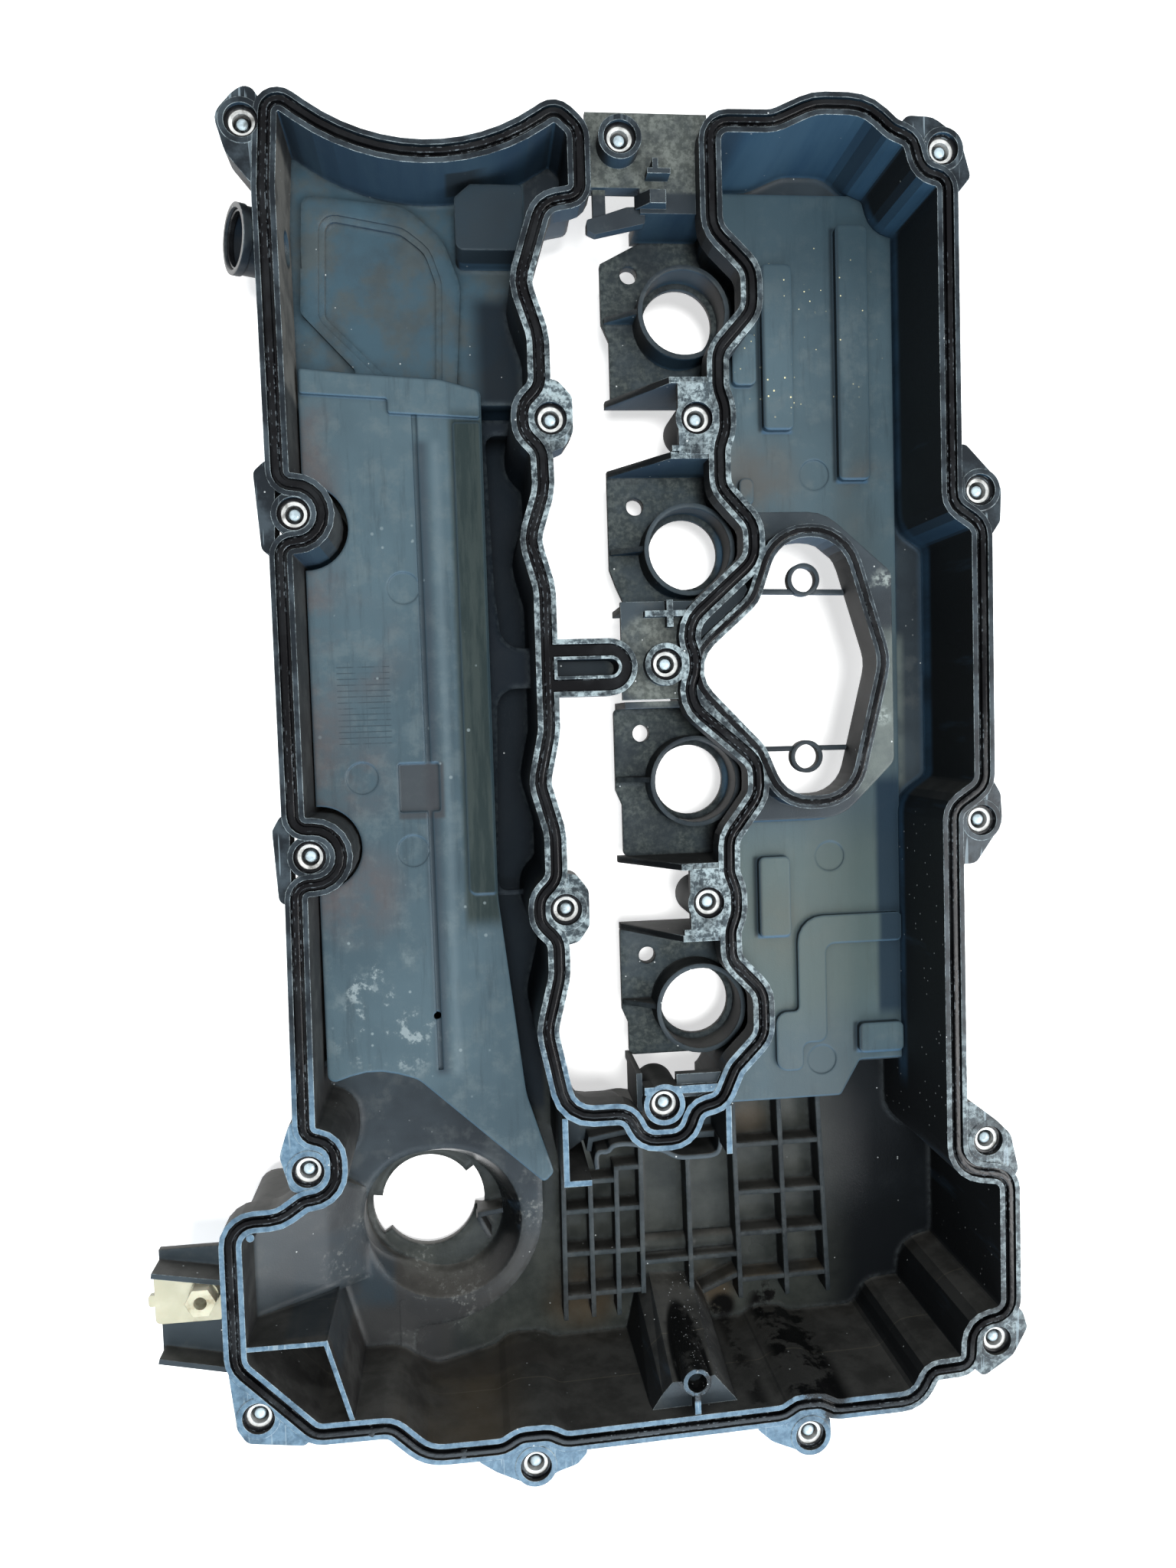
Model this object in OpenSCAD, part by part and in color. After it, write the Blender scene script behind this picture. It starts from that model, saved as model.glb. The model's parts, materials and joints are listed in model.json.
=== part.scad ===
// Valve cover of a four-cylinder engine, a single moulding with welded baffles,
// press-in seals, captive bolts and a wiring clip.
// It lies on its roof, gasket face up: +X to the intake side, +Y along the bore row.
// The drawing plane is the gasket face, with its origin midway along the bore row.

/* [Bore row] */
// Distance between neighbouring coil bores
bore_pitch = 91; // [89:0.5:93]
// Bore of a coil well at the valley floor
coil_bore_d = 28.2; // [24:0.2:30]
// Bore of the raised collar round a coil well
collar_bore_d = 32.4; // [31:0.2:34]
// Wall of the collar
collar_wall = 1.8; // [1.4:0.1:2.2]
// Height of the collar above the valley floor
collar_h = 15; // [8:1:20]
// Hole for the screw that holds a coil
coil_screw_d = 7; // [5:0.5:8]

/* [Sealing track] */
// Width of the seal groove
groove_w = 4.4; // [3.8:0.1:4.8]
// Depth of the seal groove
groove_d = 6; // [4:0.5:7]
// Width of the outer lip
lip_outer = 1.9; // [1.6:0.1:2.2]
// Width of the inner lip
lip_inner = 2; // [1.6:0.1:2.2]
// Height of the thick flange that carries the groove
flange_h = 10; // [9:0.5:12]

/* [Shell] */
// Wall of the moulding
wall = 3; // [2.6:0.1:3.4]
// Depth of the chamber beside the pump bay
bay_depth = 35; // [33:1:38]
// Depth of the left-hand chamber and the chain case
chamber_depth = 70; // [68:1:76]
// Depth of the right-hand chamber, over its baffle
cam_depth = 50; // [49:1:54]
// Depth of the shelf round the valley's lower end
shelf_depth = 30; // [28:1:32]
// Depth of the valley floor
valley_depth = 35; // [33:1:40]
// Depth of the flat round the motor opening
deck_depth = 13; // [11:0.5:16]

/* [Bolt stations] */
// Bore of a bolt boss
boss_bore_d = 12; // [11:0.2:12.6]
// Wall of a bolt boss
boss_wall = 2; // [1.6:0.1:2.4]
// Height of a bolt boss
boss_h = 28; // [24:1:32]
// Outer diameter of a steel sleeve
sleeve_d = 9.4; // [9:0.1:10]
// Bore of a steel sleeve
sleeve_bore_d = 6.8; // [6.6:0.1:7]
// Depth of a sleeve's end below the gasket face
sleeve_recess = 3; // [2:0.5:4]
// Thread diameter of a cover bolt
bolt_d = 6; // [5:0.5:6]

/* [Baffles] */
// Depth of the right-hand baffle's face
cam_baffle_depth = 46; // [44:0.5:48]
// Depth of the left-hand baffle's face
separator_depth = 30; // [28:0.5:31]
// Thickness of the baffles
baffle_t = 2.4; // [2:0.1:2.8]

/* [Filler and breather] */
// Bore of the oil filler's end lip
filler_d = 40; // [36:1:42]
// Bore of the sunk filler neck
filler_neck_d = 53; // [50:1:55]
// Diameter of the breather stub
breather_d = 25; // [22:0.5:26]
// Angle of the breather stub above the gasket plane
breather_tilt = 28; // [20:1:30]

/* [Hidden] */
$fn = 48;

// Colours
nylon = [0.13, 0.15, 0.18];
baffle_nylon = [0.30, 0.37, 0.41];
rubber = [0.03, 0.03, 0.035];
steel = [0.78, 0.79, 0.80];
cream = [0.88, 0.86, 0.72];

// Every place along Y is drawn for one bore pitch and follows the pitch that is set
drawn_pitch = 91;
function along(y) = y * bore_pitch / drawn_pitch;

// Sides of the track, measured outwards from the middle of the groove
out_edge = groove_w / 2 + lip_outer;
in_edge = -groove_w / 2 - lip_inner;
skin = in_edge + wall;

// Frame: the middle of the part's box in X and Y, its lowest face at Z = 0
reach_left = -217.8;
reach_right = 125.4;
reach_top = along(210.1);
reach_bottom = along(-314);
part_h = chamber_depth + wall;
frame_shift = [-(reach_left + reach_right) / 2, -(reach_top + reach_bottom) / 2, part_h];

function two_digits(i) = i < 10 ? str("0", i) : str(i);

// Coil bores, counted from the pump-bay end
bores = [for (k = [1.5, 0.5, -0.5, -1.5]) [0, k * drawn_pitch]];

// Bolt stations, numbered by rows from the pump-bay end
bolts = [
  [-161, 195], [-26, 192.3], [96.7, 190.6],
  [-148.7, 57.4], [109.8, 63.6],
  [-148.3, -67.2], [108.8, -63.6],
  [-153.9, -184.5], [110, -191],
  [-176, -277], [-73, -306], [35.6, -304.4], [112.6, -272.8],
  [-54.6, drawn_pitch], [0, drawn_pitch],
  [-14, 0],
  [-54.6, -drawn_pitch], [0, -drawn_pitch],
  [-19.2, -168]
];

// Rounded outlines: corners are [x, y, radius], the result is a closed list of points.
// side moves the whole outline to the left of its direction of travel.
function arc_step(r) = r > 40 ? 6 : r > 15 ? 14 : 20;
function unit(v) = v / norm(v);
function left_of(v) = [-v.y, v.x];
function flat(p) = [p.x, p.y];
function turn_of(u, v) = atan2(u.x * v.y - u.y * v.x, u * v);
function spin(v, a) = [v.x * cos(a) - v.y * sin(a), v.x * sin(a) + v.y * cos(a)];
function mitre(q, u, v, side) = flat(q) + side * (left_of(u) + left_of(v)) / (1 + u * v);
function corner_arc(p, q, s, r, side) =
  let (u = unit(flat(q) - flat(p)), v = unit(flat(s) - flat(q)), t = turn_of(u, v))
  let (way = t > 0 ? 1 : -1, start = flat(q) - u * r * tan(abs(t) / 2))
  let (centre = start + way * r * left_of(u), reach = r - way * side)
  let (steps = max(1, ceil(abs(t) / arc_step(r))))
  reach < 0.2
    ? [mitre(q, u, v, side)]
    : [for (i = [0:steps]) centre - way * reach * spin(left_of(u), t * i / steps)];
function outline(corners, side = 0) =
  let (m = len(corners), c = [for (q = corners) [q.x, along(q.y), q[2]]])
  [for (i = [0:m - 1])
    each corner_arc(c[(i + m - 1) % m], c[i], c[(i + 1) % m], c[i][2], side)];

// Detour of the track round a bolt that stands close to a straight wall, on the chamber side
function detour(b, wall_x, reach, half, up) =
  let (d = up ? 1 : -1)
  [[wall_x, b.y - d * half, 5], [b.x + reach, b.y - d * half, half - 0.1],
   [b.x + reach, b.y + d * half, half - 0.1], [wall_x, b.y + d * half, 5]];

// Shallow bend of the valley wall round a bolt boss
function nudge(b, wall_x, reach, half, up) =
  let (d = up ? 1 : -1)
  [[wall_x, b.y - d * (half + 7), 8], [b.x + reach, b.y - d * half, 8],
   [b.x + reach, b.y + d * half, 8], [wall_x, b.y + d * (half + 7), 8]];

// Middle line of the seal groove, clockwise from the breather
track_corners = concat(
  // Pump bay
  [[-154.3, 172, 20], [-152, 206.3, 4.8], [-98, 169.5, 77], [-49.5, 202, 5.2], [-41.3, 194.5, 7]],
  // Valley, left wall
  [[-41.3, 171, 4.9], [-55.5, 168.3, 9], [-64.5, 140, 13], [-58.3, 121, 14]],
  nudge(bolts[13], -58.3, -10.4, 4.6, false),
  [[-58, 65, 14], [-63.8, 47, 14], [-58.8, 29, 14], [-58.8, -24, 14], [-63, -43, 12], [-57.8, -62, 14]],
  nudge(bolts[16], -57.8, -10, 4.6, false),
  [[-57.8, -116, 14], [-63.2, -137, 14], [-56.5, -170.3, 12]],
  // Valley, lower end
  [[-33, -170.4, 7], [-28, -181.6, 8.5], [-11, -181.6, 8.5], [-6.8, -170, 7], [3, -168, 7]],
  // Valley, right wall
  [[8.6, -155.5, 8], [20.4, -143.5, 10], [20.4, -126.5, 11], [8.2, -113.5, 9]],
  nudge(bolts[17], 8.1, 10.6, 4.2, true),
  [[8.3, -66.5, 9], [20.3, -50.5, 10], [20.3, -38, 10], [-4.9, -15.8, 12]],
  [[-4.9, -8.5, 7], [-3.1, -3, 7], [-3.1, 3, 7], [-4.9, 8.5, 7]],
  [[-4.9, 15.8, 12], [20.6, 38.5, 10], [20.6, 51.5, 10.5], [8.2, 65.5, 9]],
  nudge(bolts[14], 8.2, 10.6, 4.2, true),
  [[8.4, 115.5, 9], [21.8, 130.5, 10.5], [21.8, 145.5, 10], [7.3, 160, 11]],
  // Right chamber, top
  [[7.3, 198.7, 7], [31.5, 199, 13], [47, 206, 20], [67, 206, 18], [77, 197.2, 8]],
  [[84.8, 194.2, 7], [88, 182, 8], [98.3, 180, 5.4]],
  // Right side
  [[98.5, 58.3, 8], [110.3, 50.3, 8], [110.2, -50, 8], [97.2, -58.8, 8]],
  [[97.3, -202.2, 11.3], [118.7, -205.2, 7], [118.7, -262.3, 7.5], [102.4, -264.8, 9.2]],
  [[101.6, -281.8, 5], [85.5, -282.6, 5.4], [79.3, -294, 11]],
  // Lower side
  [[45, -294.6, 9], [40.5, -291.4, 7.5], [30.5, -291.4, 7.5], [25.5, -295, 9]],
  [[-61.5, -297.2, 9], [-67.5, -293.8, 7.5], [-78.5, -293.8, 7.5], [-85, -297.6, 9]],
  [[-114, -297.6, 16], [-127, -285.2, 8], [-155.5, -285.2, 8], [-183.4, -257, 9.5]],
  // Left side
  [[-183.4, -201.9, 9], [-165, -201.6, 12], [-155.5, -195.2, 6]],
  [[-143.5, -194.9, 10], [-143.5, -174, 8.5], [-154.8, -171.4, 5]],
  detour(bolts[5], -153.7, 11.5, 10.3, true),
  detour(bolts[3], -153.8, 10.4, 10.3, true)
);
module track_area(side) {
  polygon(outline(track_corners, side));
}

// Egg-shaped motor opening: middle line of its seal groove
egg_corners = [
  [-9, -1.5, 15], [19.8, 23.6, 12], [28.6, 49.1, 17.8], [56.1, 49.1, 17.8],
  [70.9, -0.5, 20], [57.6, -54.1, 16.5], [29.6, -54.1, 16.5], [21.1, -33.5, 12]
];
egg_groove = 2.2;
egg_lip_in = 1.5;
egg_lip_out = 1.3;
module egg_area(side) {
  polygon(outline(egg_corners, side));
}
egg_out = egg_groove / 2 + egg_lip_out;
egg_in = -egg_groove / 2 - egg_lip_in;

// Flat round the motor opening, and the pocket behind it that seats the motor
deck_corners = [
  [-12, 58.2, 5], [52, 58.2, 18], [78.7, 34.5, 5], [78.7, -40, 5], [57, -61.5, 18], [-12, -61.5, 5]
];

// Slot-shaped oil port in the sealing track's side branch
port_x = [-56.2, -30.9];
port_half = 4.2;
port_lip = 1.1;
branch_half = 8.8;
branch_lip = 1.9;
branch_end = -25 - branch_lip;
module slot_area(x0, x1, half) {
  translate([x0, -half - 0.5])
    square([x1 - x0 - half, 2 * half]);
  translate([x1 - half, -0.5])
    circle(r = half);
}
module branch_outline() {
  slot_area(-60, branch_end + branch_lip, branch_half + branch_lip);
}
module groove_area(play = 0) {
  difference() {
    union() {
      difference() {
        track_area(groove_w / 2 - play);
        track_area(-groove_w / 2 + play);
      }
      slot_area(-59.5, branch_end - play, branch_half - play);
    }
    slot_area(port_x[0] - play, port_x[1] + play, port_half + play);
  }
}

// Ears that carry the bolts outside the track
ear_shapes = [
  [[-153, 200, 3], [-157.5, 208.3, 4], [-163.5, 204.8, 8], [-170.6, 197, 6], [-167, 184, 8],
   [-158.5, 173.5, 3], [-153, 173, 2]],
  [[80, 198, 2], [82, 202.6, 4], [93, 202.2, 8], [103.6, 195, 6], [107.6, 180.5, 3], [101.2, 172.8, 3],
   [97, 178, 2]],
  [[-154.5, 77, 1], [-158.5, 76, 3], [-162.4, 72.5, 3], [-160.5, 44.5, 3], [-156, 41.5, 2]],
  [[100.5, 85, 3], [115, 69.5, 8], [118.4, 64, 5], [117.8, 51.5, 3], [112, 43, 3], [106, 55, 3], [99, 62, 2]],
  [[-155, -51, 1], [-158.5, -52, 3], [-161.4, -57, 3], [-160, -83, 3], [-155.5, -86, 2]],
  [[112, -45, 3], [116.8, -53.5, 4], [117.4, -65, 7], [106.5, -80.4, 4], [99, -80.8, 2], [99, -62, 3],
   [106, -55, 3]],
  [[-156, -162, 2], [-160.5, -167, 4], [-164.2, -178, 6], [-160.5, -191.5, 3], [-155, -193, 3],
   [-148, -180, 3]],
  [[99.5, -172, 3], [113.5, -183, 6], [119.5, -189, 6], [122.8, -205, 4], [119, -207, 2], [104, -201, 3],
   [99, -196, 3]],
  [[-187, -252, 1], [-184, -281, 5], [-180.5, -286.5, 4], [-159, -289.4, 3], [-156, -285, 2],
   [-180, -260, 6]],
  [[-98, -300, 2], [-88, -307, 5], [-80, -311, 4], [-73, -313.9, 9], [-64.5, -309, 5], [-57, -306.8, 3],
   [-50, -299.5, 3], [-70, -296, 2]],
  [[12, -298, 2], [20, -305.5, 5], [29, -309.5, 3], [35.6, -312.6, 9], [43.9, -309, 6], [43.6, -298, 2],
   [35, -294, 2]],
  [[119, -260, 2], [123.5, -261, 3], [125.6, -268.5, 3], [119.5, -279.5, 8], [107, -287.2, 3],
   [102.5, -283, 2], [106, -268, 3]],
  [[-57, 106, 2], [-51.5, 104.6, 4], [-46.4, 99, 4], [-46.4, 86, 4], [-50, 80.6, 3], [-56.5, 78, 2]],
  [[-56, -77, 2], [-50.5, -78, 4], [-45.8, -84, 4], [-45.8, -97.5, 4], [-50, -103.4, 3], [-56, -105, 2]]
];
ear_drop = 0.6;
ear_h = 12;

module ears() {
  for (corners = ear_shapes)
    translate([0, 0, -ear_h - ear_drop])
      linear_extrude(ear_h)
        polygon(outline(corners));
  for (b = bolts)
    post(b.x, b.y, boss_bore_d + 2 * boss_wall, -boss_h, -ear_drop / 2);
}

module block(x0, y0, x1, y1, z0, z1) {
  translate([x0, along(y0), z0])
    cube([x1 - x0, along(y1) - along(y0), z1 - z0]);
}
module slab(corners, z0, z1, side = 0) {
  translate([0, 0, z0])
    linear_extrude(z1 - z0)
      polygon(outline(corners, side));
}
module post(x, y, d, z0, z1) {
  translate([x, along(y), z0])
    cylinder(d = d, h = z1 - z0);
}
// Upright plate of a straight run from p to q
module fin(p, q, t, z0, z1) {
  run = [q.x - p.x, along(q.y) - along(p.y)];
  translate([p.x, along(p.y), z0])
    rotate([0, 0, atan2(run.y, run.x)])
      translate([0, -t / 2, 0])
        cube([norm(run), t, z1 - z0]);
}
// Upright plate across X whose top edge slopes, drawn as its side view
module side_fin(profile, y, t) {
  translate([0, along(y) + t / 2, 0])
    rotate([90, 0, 0])
      linear_extrude(t)
        polygon(profile);
}
// Block that tapers from a base outline to a top outline with as many corners
module tapered(base, top, z0, z1) {
  n = len(base);
  polyhedron(
    points = concat([for (c = base) [c.x, along(c.y), z0]], [for (c = top) [c.x, along(c.y), z1]]),
    faces = concat([for (i = [1:n - 2]) [0, i, i + 1]],
                   [for (i = [1:n - 2]) [n, n + i + 1, n + i]],
                   [for (i = [0:n - 1]) [i, n + i, n + (i + 1) % n]],
                   [for (i = [0:n - 1]) [i, n + (i + 1) % n, (i + 1) % n]])
  );
}

// Main solids of the moulding: the flange with its lips and the walls with the roof
module flange_and_walls() {
  translate([0, 0, -flange_h])
    linear_extrude(flange_h)
      track_area(out_edge);
  translate([0, 0, -chamber_depth - wall])
    linear_extrude(chamber_depth + wall - flange_h / 2)
      track_area(skin);
}

// Zones where the roof is shallower than in the left-hand chamber
filler_pos = [-112.8, -225.5];
filler_depth = 52;
filler_corners = [
  [-210, -160, 5], [-100, -160, 20], [-64.3, -190, 25], [-64.3, -274, 48.3], [-120, -274, 3],
  [-120, -320, 5], [-210, -320, 5]
];
bay_corners = [[-200, 105, 1], [-200, 230, 1], [-30, 230, 1], [-30, 105, 1]];
cam_zone_corners = [
  [-20, 240, 1], [150, 240, 1], [150, -169.5, 1], [74.5, -169.5, 4], [65.5, -184.5, 4], [-20, -184.5, 1]
];
shelf_corners = [
  [-58, -157, 1], [6, -157, 1], [6, -190, 2], [-14, -190, 2], [-28, -187, 4], [-46, -189, 4], [-58, -197, 2]
];
deck_base = [
  [-12, 60, 5], [54, 60, 18], [84, 35, 5], [84, -41, 5], [59, -64, 18], [-12, -64, 5]
];
deck_base_top = -32;
deck_pocket = [
  [6, -1.5, 3], [24, 18, 8], [27.5, 55, 8], [52, 55, 15], [75.7, 33, 5], [75.7, -38.5, 5],
  [56, -58.5, 15], [28.5, -58.5, 8], [24, -20, 8]
];
base_pocket = [
  [6, -1.5, 3], [24, 18, 8], [27.5, 57, 8], [53, 57, 15], [81, 34, 5], [81, -39.5, 5],
  [58, -61, 15], [28.5, -61, 8], [24, -20, 8]
];
module outside_recesses() {
  low = -chamber_depth - 10;
  slab(bay_corners, low, -bay_depth - wall, -wall);
  slab(cam_zone_corners, low, -cam_depth - wall, -wall);
  slab(shelf_corners, low, -shelf_depth - wall, -wall);
  slab(filler_corners, low, -filler_depth - wall, -wall);
  slab(deck_pocket, low, -deck_depth - wall);
  slab(base_pocket, low, deck_base_top - wall);
}
module chamber() {
  low = -chamber_depth - 1;
  difference() {
    translate([0, 0, -chamber_depth])
      linear_extrude(chamber_depth + 1)
        track_area(in_edge);
    slab(bay_corners, low, -bay_depth);
    slab(cam_zone_corners, low, -cam_depth);
    slab(shelf_corners, low, -shelf_depth);
    slab(filler_corners, low, -filler_depth);
    slab(deck_base, low, deck_base_top);
    slab(deck_corners, low, -deck_depth);
    translate([0, 0, -deck_depth - 1])
      linear_extrude(deck_depth + 3)
        egg_area(egg_out);
    slab([[-2, 5, 1], [3, 20, 2], [17, 32, 2], [20, 25, 2]], -deck_depth - 1, -5);
  }
}

// Plate at the pump-bay end of the valley, with the second bolt's boss
end_plate_z = -8;
module valley_end() {
  block(-38, 177.4, 8, 204.6, end_plate_z - wall, end_plate_z);
  block(-38, 177.4, -17, 179.4, -15, end_plate_z);
  block(-18, 168.3, 8, 178, end_plate_z - wall, end_plate_z);
  block(-18, 168.3, 8, 172.8, -valley_depth - wall, end_plate_z);
  // Bent hook that holds a hose
  block(-14, 180, -12, 185.5, end_plate_z - 1, -1.5);
  block(-16, 180, -7.4, 182, end_plate_z - 1, -1.5);
  side_fin([[-20, end_plate_z - 1], [-8, end_plate_z - 1], [-9, -3], [-15, -3]], 172.5, 5);
  // Finger that reaches over the valley, with the arm that ties it to the plate
  slab([[-38.1, 166.2, 1], [-38.2, 162.4, 1], [-34.9, 160.9, 1], [-16, 165.2, 1], [-16, 171.4, 1],
        [-23, 171, 1], [-30.8, 168.4, 1]], -14, -9.4);
  block(-35.6, 165, -30.8, 178.4, -13, -10);
}

// Floor plates of the valley, one per coil
plates = [
  [[-30.5, 160, 1], [-15, 168, 1], [-15, 171, 1], [24, 171, 1], [24, 105.5, 1], [-27.5, 105.5, 2],
   [-27.5, 130, 1], [-30.5, 137, 1]],
  [[-30, 77, 1], [24, 77, 1], [24, 18, 1], [-22, 18, 3], [-24, 25, 3], [-27.5, 33, 1], [-30, 40, 1]],
  [[-30, -16, 2], [24, -16, 1], [24, -76, 1], [-27.5, -76, 2], [-27.5, -55, 1], [-30, -49, 1]],
  [[-30, -105, 2], [24, -105, 1], [24, -158, 1], [-27.5, -158, 2], [-27.5, -145, 1], [-30, -139, 1]]
];
module valley_floor() {
  for (k = [0:3])
    slab(plates[k], -valley_depth - wall, -valley_depth);
  for (b = bores)
    post(b.x, b.y, collar_bore_d + 2 * collar_wall, -valley_depth - 1, -valley_depth + collar_h);
  // Gussets from the plates' free edge up to the collars
  for (b = bores)
    side_fin([[-29.5, -valley_depth - 1], [-29.5, -valley_depth + 2], [-15, -valley_depth + collar_h],
              [-15, -valley_depth - 1]], b.y + 1, 2);
  for (b = bores)
    post(b.x - 19, b.y + 19.4, coil_screw_d + 4, -valley_depth - 6, -valley_depth);
}

// Webs and plates beside the bolts of the bore row
module valley_webs() {
  for (y = [drawn_pitch, -drawn_pitch]) {
    for (dy = [14, -13.5])
      side_fin([[-30, -valley_depth - wall], [-30, -valley_depth + 1], [-10, -1], [12, -1],
                [12, -valley_depth - wall]], y + dy, 2.5);
    block(-7, y - 13.3, 9, y + 13.3, -4, -ear_drop / 2);
    for (dy = [13.8, -11])
      block(-9.6, y + dy - 1, -6, y + dy + 1, -4, -ear_drop / 2);
  }
  // Plate, ribs and side walls of the bolt between the seal branch and the motor opening
  block(-30, -13, 0, 24, -6 - wall, -6);
  block(-13.2, 14, -10.8, 24, -7, -0.8);
  block(-21.5, 17.9, -2, 20.1, -7, -0.8);
  for (y = [-15, 22])
    side_fin([[-29, -valley_depth - wall], [-29, -8], [2, -8], [2, -valley_depth - wall]], y, 2.5);
  // Lower end of the valley
  block(-26.8, -164, 8, -161, -6 - wall, -ear_drop / 2);
  block(-14, -166, 6, -157, -6, -2);
  block(-29, -172, -26.8, -157, -valley_depth - wall, -6);
}

// Side branch of the track round the oil port
module branch() {
  translate([0, 0, -flange_h - 4])
    linear_extrude(flange_h + 4)
      branch_outline();
  translate([0, 0, -valley_depth])
    linear_extrude(valley_depth - 5)
      slot_area(port_x[0], port_x[1], port_half);
}

// Oil filler: a dished neck sunk through the raised roof, with a bayonet lip at its end
filler_lip_z = -66;
filler_lip_t = 3.5;
filler_notch_d = 48;
// Dish round the neck, wider towards the chain case
dish_pos = filler_pos + [7, -5];
dish_foot_d = filler_neck_d - 4;
dish_d = filler_neck_d + 13;
module dish(grow, z0, z1) {
  translate([dish_pos.x, along(dish_pos.y), z0])
    cylinder(d1 = dish_foot_d + 2 * grow, d2 = dish_d + 2 * grow, h = z1 - z0);
}
module filler_neck() {
  post(filler_pos.x, filler_pos.y, filler_neck_d + 2 * wall, filler_lip_z - filler_lip_t, -filler_depth - 1);
  dish(wall, filler_lip_z - wall, -filler_depth - 1);
}
module filler_bore() {
  dish(0, filler_lip_z, -filler_depth + 1);
  post(filler_pos.x, filler_pos.y, filler_neck_d, filler_lip_z, filler_lip_z + 20);
  translate([filler_pos.x, along(filler_pos.y), 0]) {
    translate([0, 0, -chamber_depth - 10])
      cylinder(d = filler_d, h = 20);
    for (a = [13, 193])
      rotate([0, 0, a - 22])
        translate([0, 0, filler_lip_z - filler_lip_t - 1])
          rotate_extrude(angle = 44)
            translate([filler_d / 2 - 3, 0])
              square([(filler_notch_d - filler_d) / 2 + 3, filler_lip_t + 2]);
  }
}

// Bent tab beside the filler's lip
module bayonet_tabs() {
  fin([-92, -229.3], [-81.3, -228], 2, filler_lip_z - 1, -55);
  fin([-91.8, -230.3], [-87.2, -239.4], 2, filler_lip_z - 1, -55);
}

// Breather stub on the pump-bay wall, tilted towards the gasket face
breather_mouth = [-168, along(160), -15.2];
breather_wall = 1.8;
breather_len = 21.7;
breather_bead = 3;
breather_neck_d = breather_d - 1.2;
breather_port_d = 13;
module breather_frame() {
  translate(breather_mouth)
    rotate([0, -90 + breather_tilt, 0])
      children();
}
module breather_tube() {
  breather_frame()
    translate([0, 0, -breather_len])
      cylinder(d = breather_neck_d, h = breather_len - 1);
  breather_frame()
    translate([0, 0, -breather_bead])
      cylinder(d = breather_d, h = breather_bead);
}
module breather_bore() {
  breather_frame()
    translate([0, 0, -13])
      cylinder(d = breather_d - 2 * breather_wall, h = 14);
  breather_frame()
    translate([0, 0, -breather_len - 6])
      cylinder(d = breather_port_d, h = breather_len);
}

// Bracket outside the chain-case wall for the wiring clip
bracket_z = -18;
module bracket() {
  block(-213.8, -263, -180, -217.5, bracket_z - wall, bracket_z);
  fin([-213.8, -222], [-181, -228], 2, bracket_z - wall, -6);
  fin([-213, -256], [-181, -263], 2, bracket_z - wall, -8);
  block(-184, -263, -180, -217.5, -40, -5);
}

// Stiffening ribs on the roof of the chain case, each from one end to the other.
// The ribs across are a little lower than those along, and the slanting one is lower still.
grid_top = -58;
grid_step = 0.4;
grid_t = 2;
ribs_along = [
  [[-54.6, -193], [-55.4, -280.4]], [[-43.2, -218.8], [-43.2, -279.8]], [[-31.7, -213.7], [-32, -279.9]],
  [[-20.8, -187.5], [-21.1, -271]], [[-0.4, -188.5], [0.3, -272]],
  [[20.2, -183], [22.2, -276.8]], [[40.8, -183], [43.2, -276.8]], [[58.3, -183], [61.8, -276.7]]
];
ribs_across = [
  [[-55.2, -232.7], [-20.8, -232.7]], [[-55.3, -251.4], [-20.9, -251.4]], [[-55.2, -270.6], [-43.2, -270.6]],
  [[-43.2, -269.6], [-21, -269.4]], [[-43.2, -219.8], [-31.8, -219.8]], [[-32, -214.7], [-20.8, -214.7]],
  [[-21, -257.6], [21.8, -256.9]], [[20.7, -208.4], [59.2, -208.2]], [[21.2, -229.7], [60, -230]],
  [[21.6, -248.2], [60.7, -248.1]], [[22, -268.9], [61.5, -268.2]]
];
slant_rib = [[5.2, -273], [21.6, -266.2]];
roll_d = 8;
roll_y = -253.5;
rolls = [[-20.5, -0.3], [0.4, 21.2]];
module roof_grid() {
  for (r = ribs_along)
    fin(r[0], r[1], grid_t, -chamber_depth - 1, grid_top);
  for (r = ribs_across)
    fin(r[0], r[1], grid_t, -chamber_depth - 1, grid_top - grid_step);
  fin(slant_rib[0], slant_rib[1], grid_t, -chamber_depth - 1, grid_top - 2 * grid_step);
  // Half-round rolls between the middle ribs
  for (r = rolls)
    translate([r[0], along(roll_y), -chamber_depth + 1])
      rotate([0, 90, 0])
        cylinder(d = roll_d, h = r[1] - r[0]);
}

// Tower of the chain guide: it leans on the lower wall and ends in a hollow boss with a rib to the wall
boss_pos = [-9.2, -279.2];
tower_base = [[-28, -293.4], [12, -293.4], [7.5, -279], [1.5, -268.5], [-17, -267.5], [-23, -272]];
tower_top = [[-27, -293.4], [9.3, -293.4], [7, -290], [-1, -280.2], [-18, -281.8], [-22, -286]];
tower_top_z = -7;
module guide_tower() {
  tapered(tower_base, tower_top, -chamber_depth - 1, tower_top_z);
  post(boss_pos.x, boss_pos.y, 11, -50, -1);
  fin([boss_pos.x, -293.4], [boss_pos.x, boss_pos.y - 3], 2.4, -30, -0.6);
}

// Banked floor in the corner beside the filler, from high at the wall down to the dish
module corner_slope() {
  intersection() {
    slab([[-181.3, -251, 1], [-136, -251, 1], [-136, -214, 4], [-150, -203.8, 4], [-181.3, -203.8, 8]],
         -filler_depth - 1, 0);
    side_fin([[-190, -filler_depth - 2], [-130, -filler_depth - 2], [-138, -filler_depth],
              [-153, -40], [-181, -22], [-190, -20]], -227, 70);
  }
}
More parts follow.
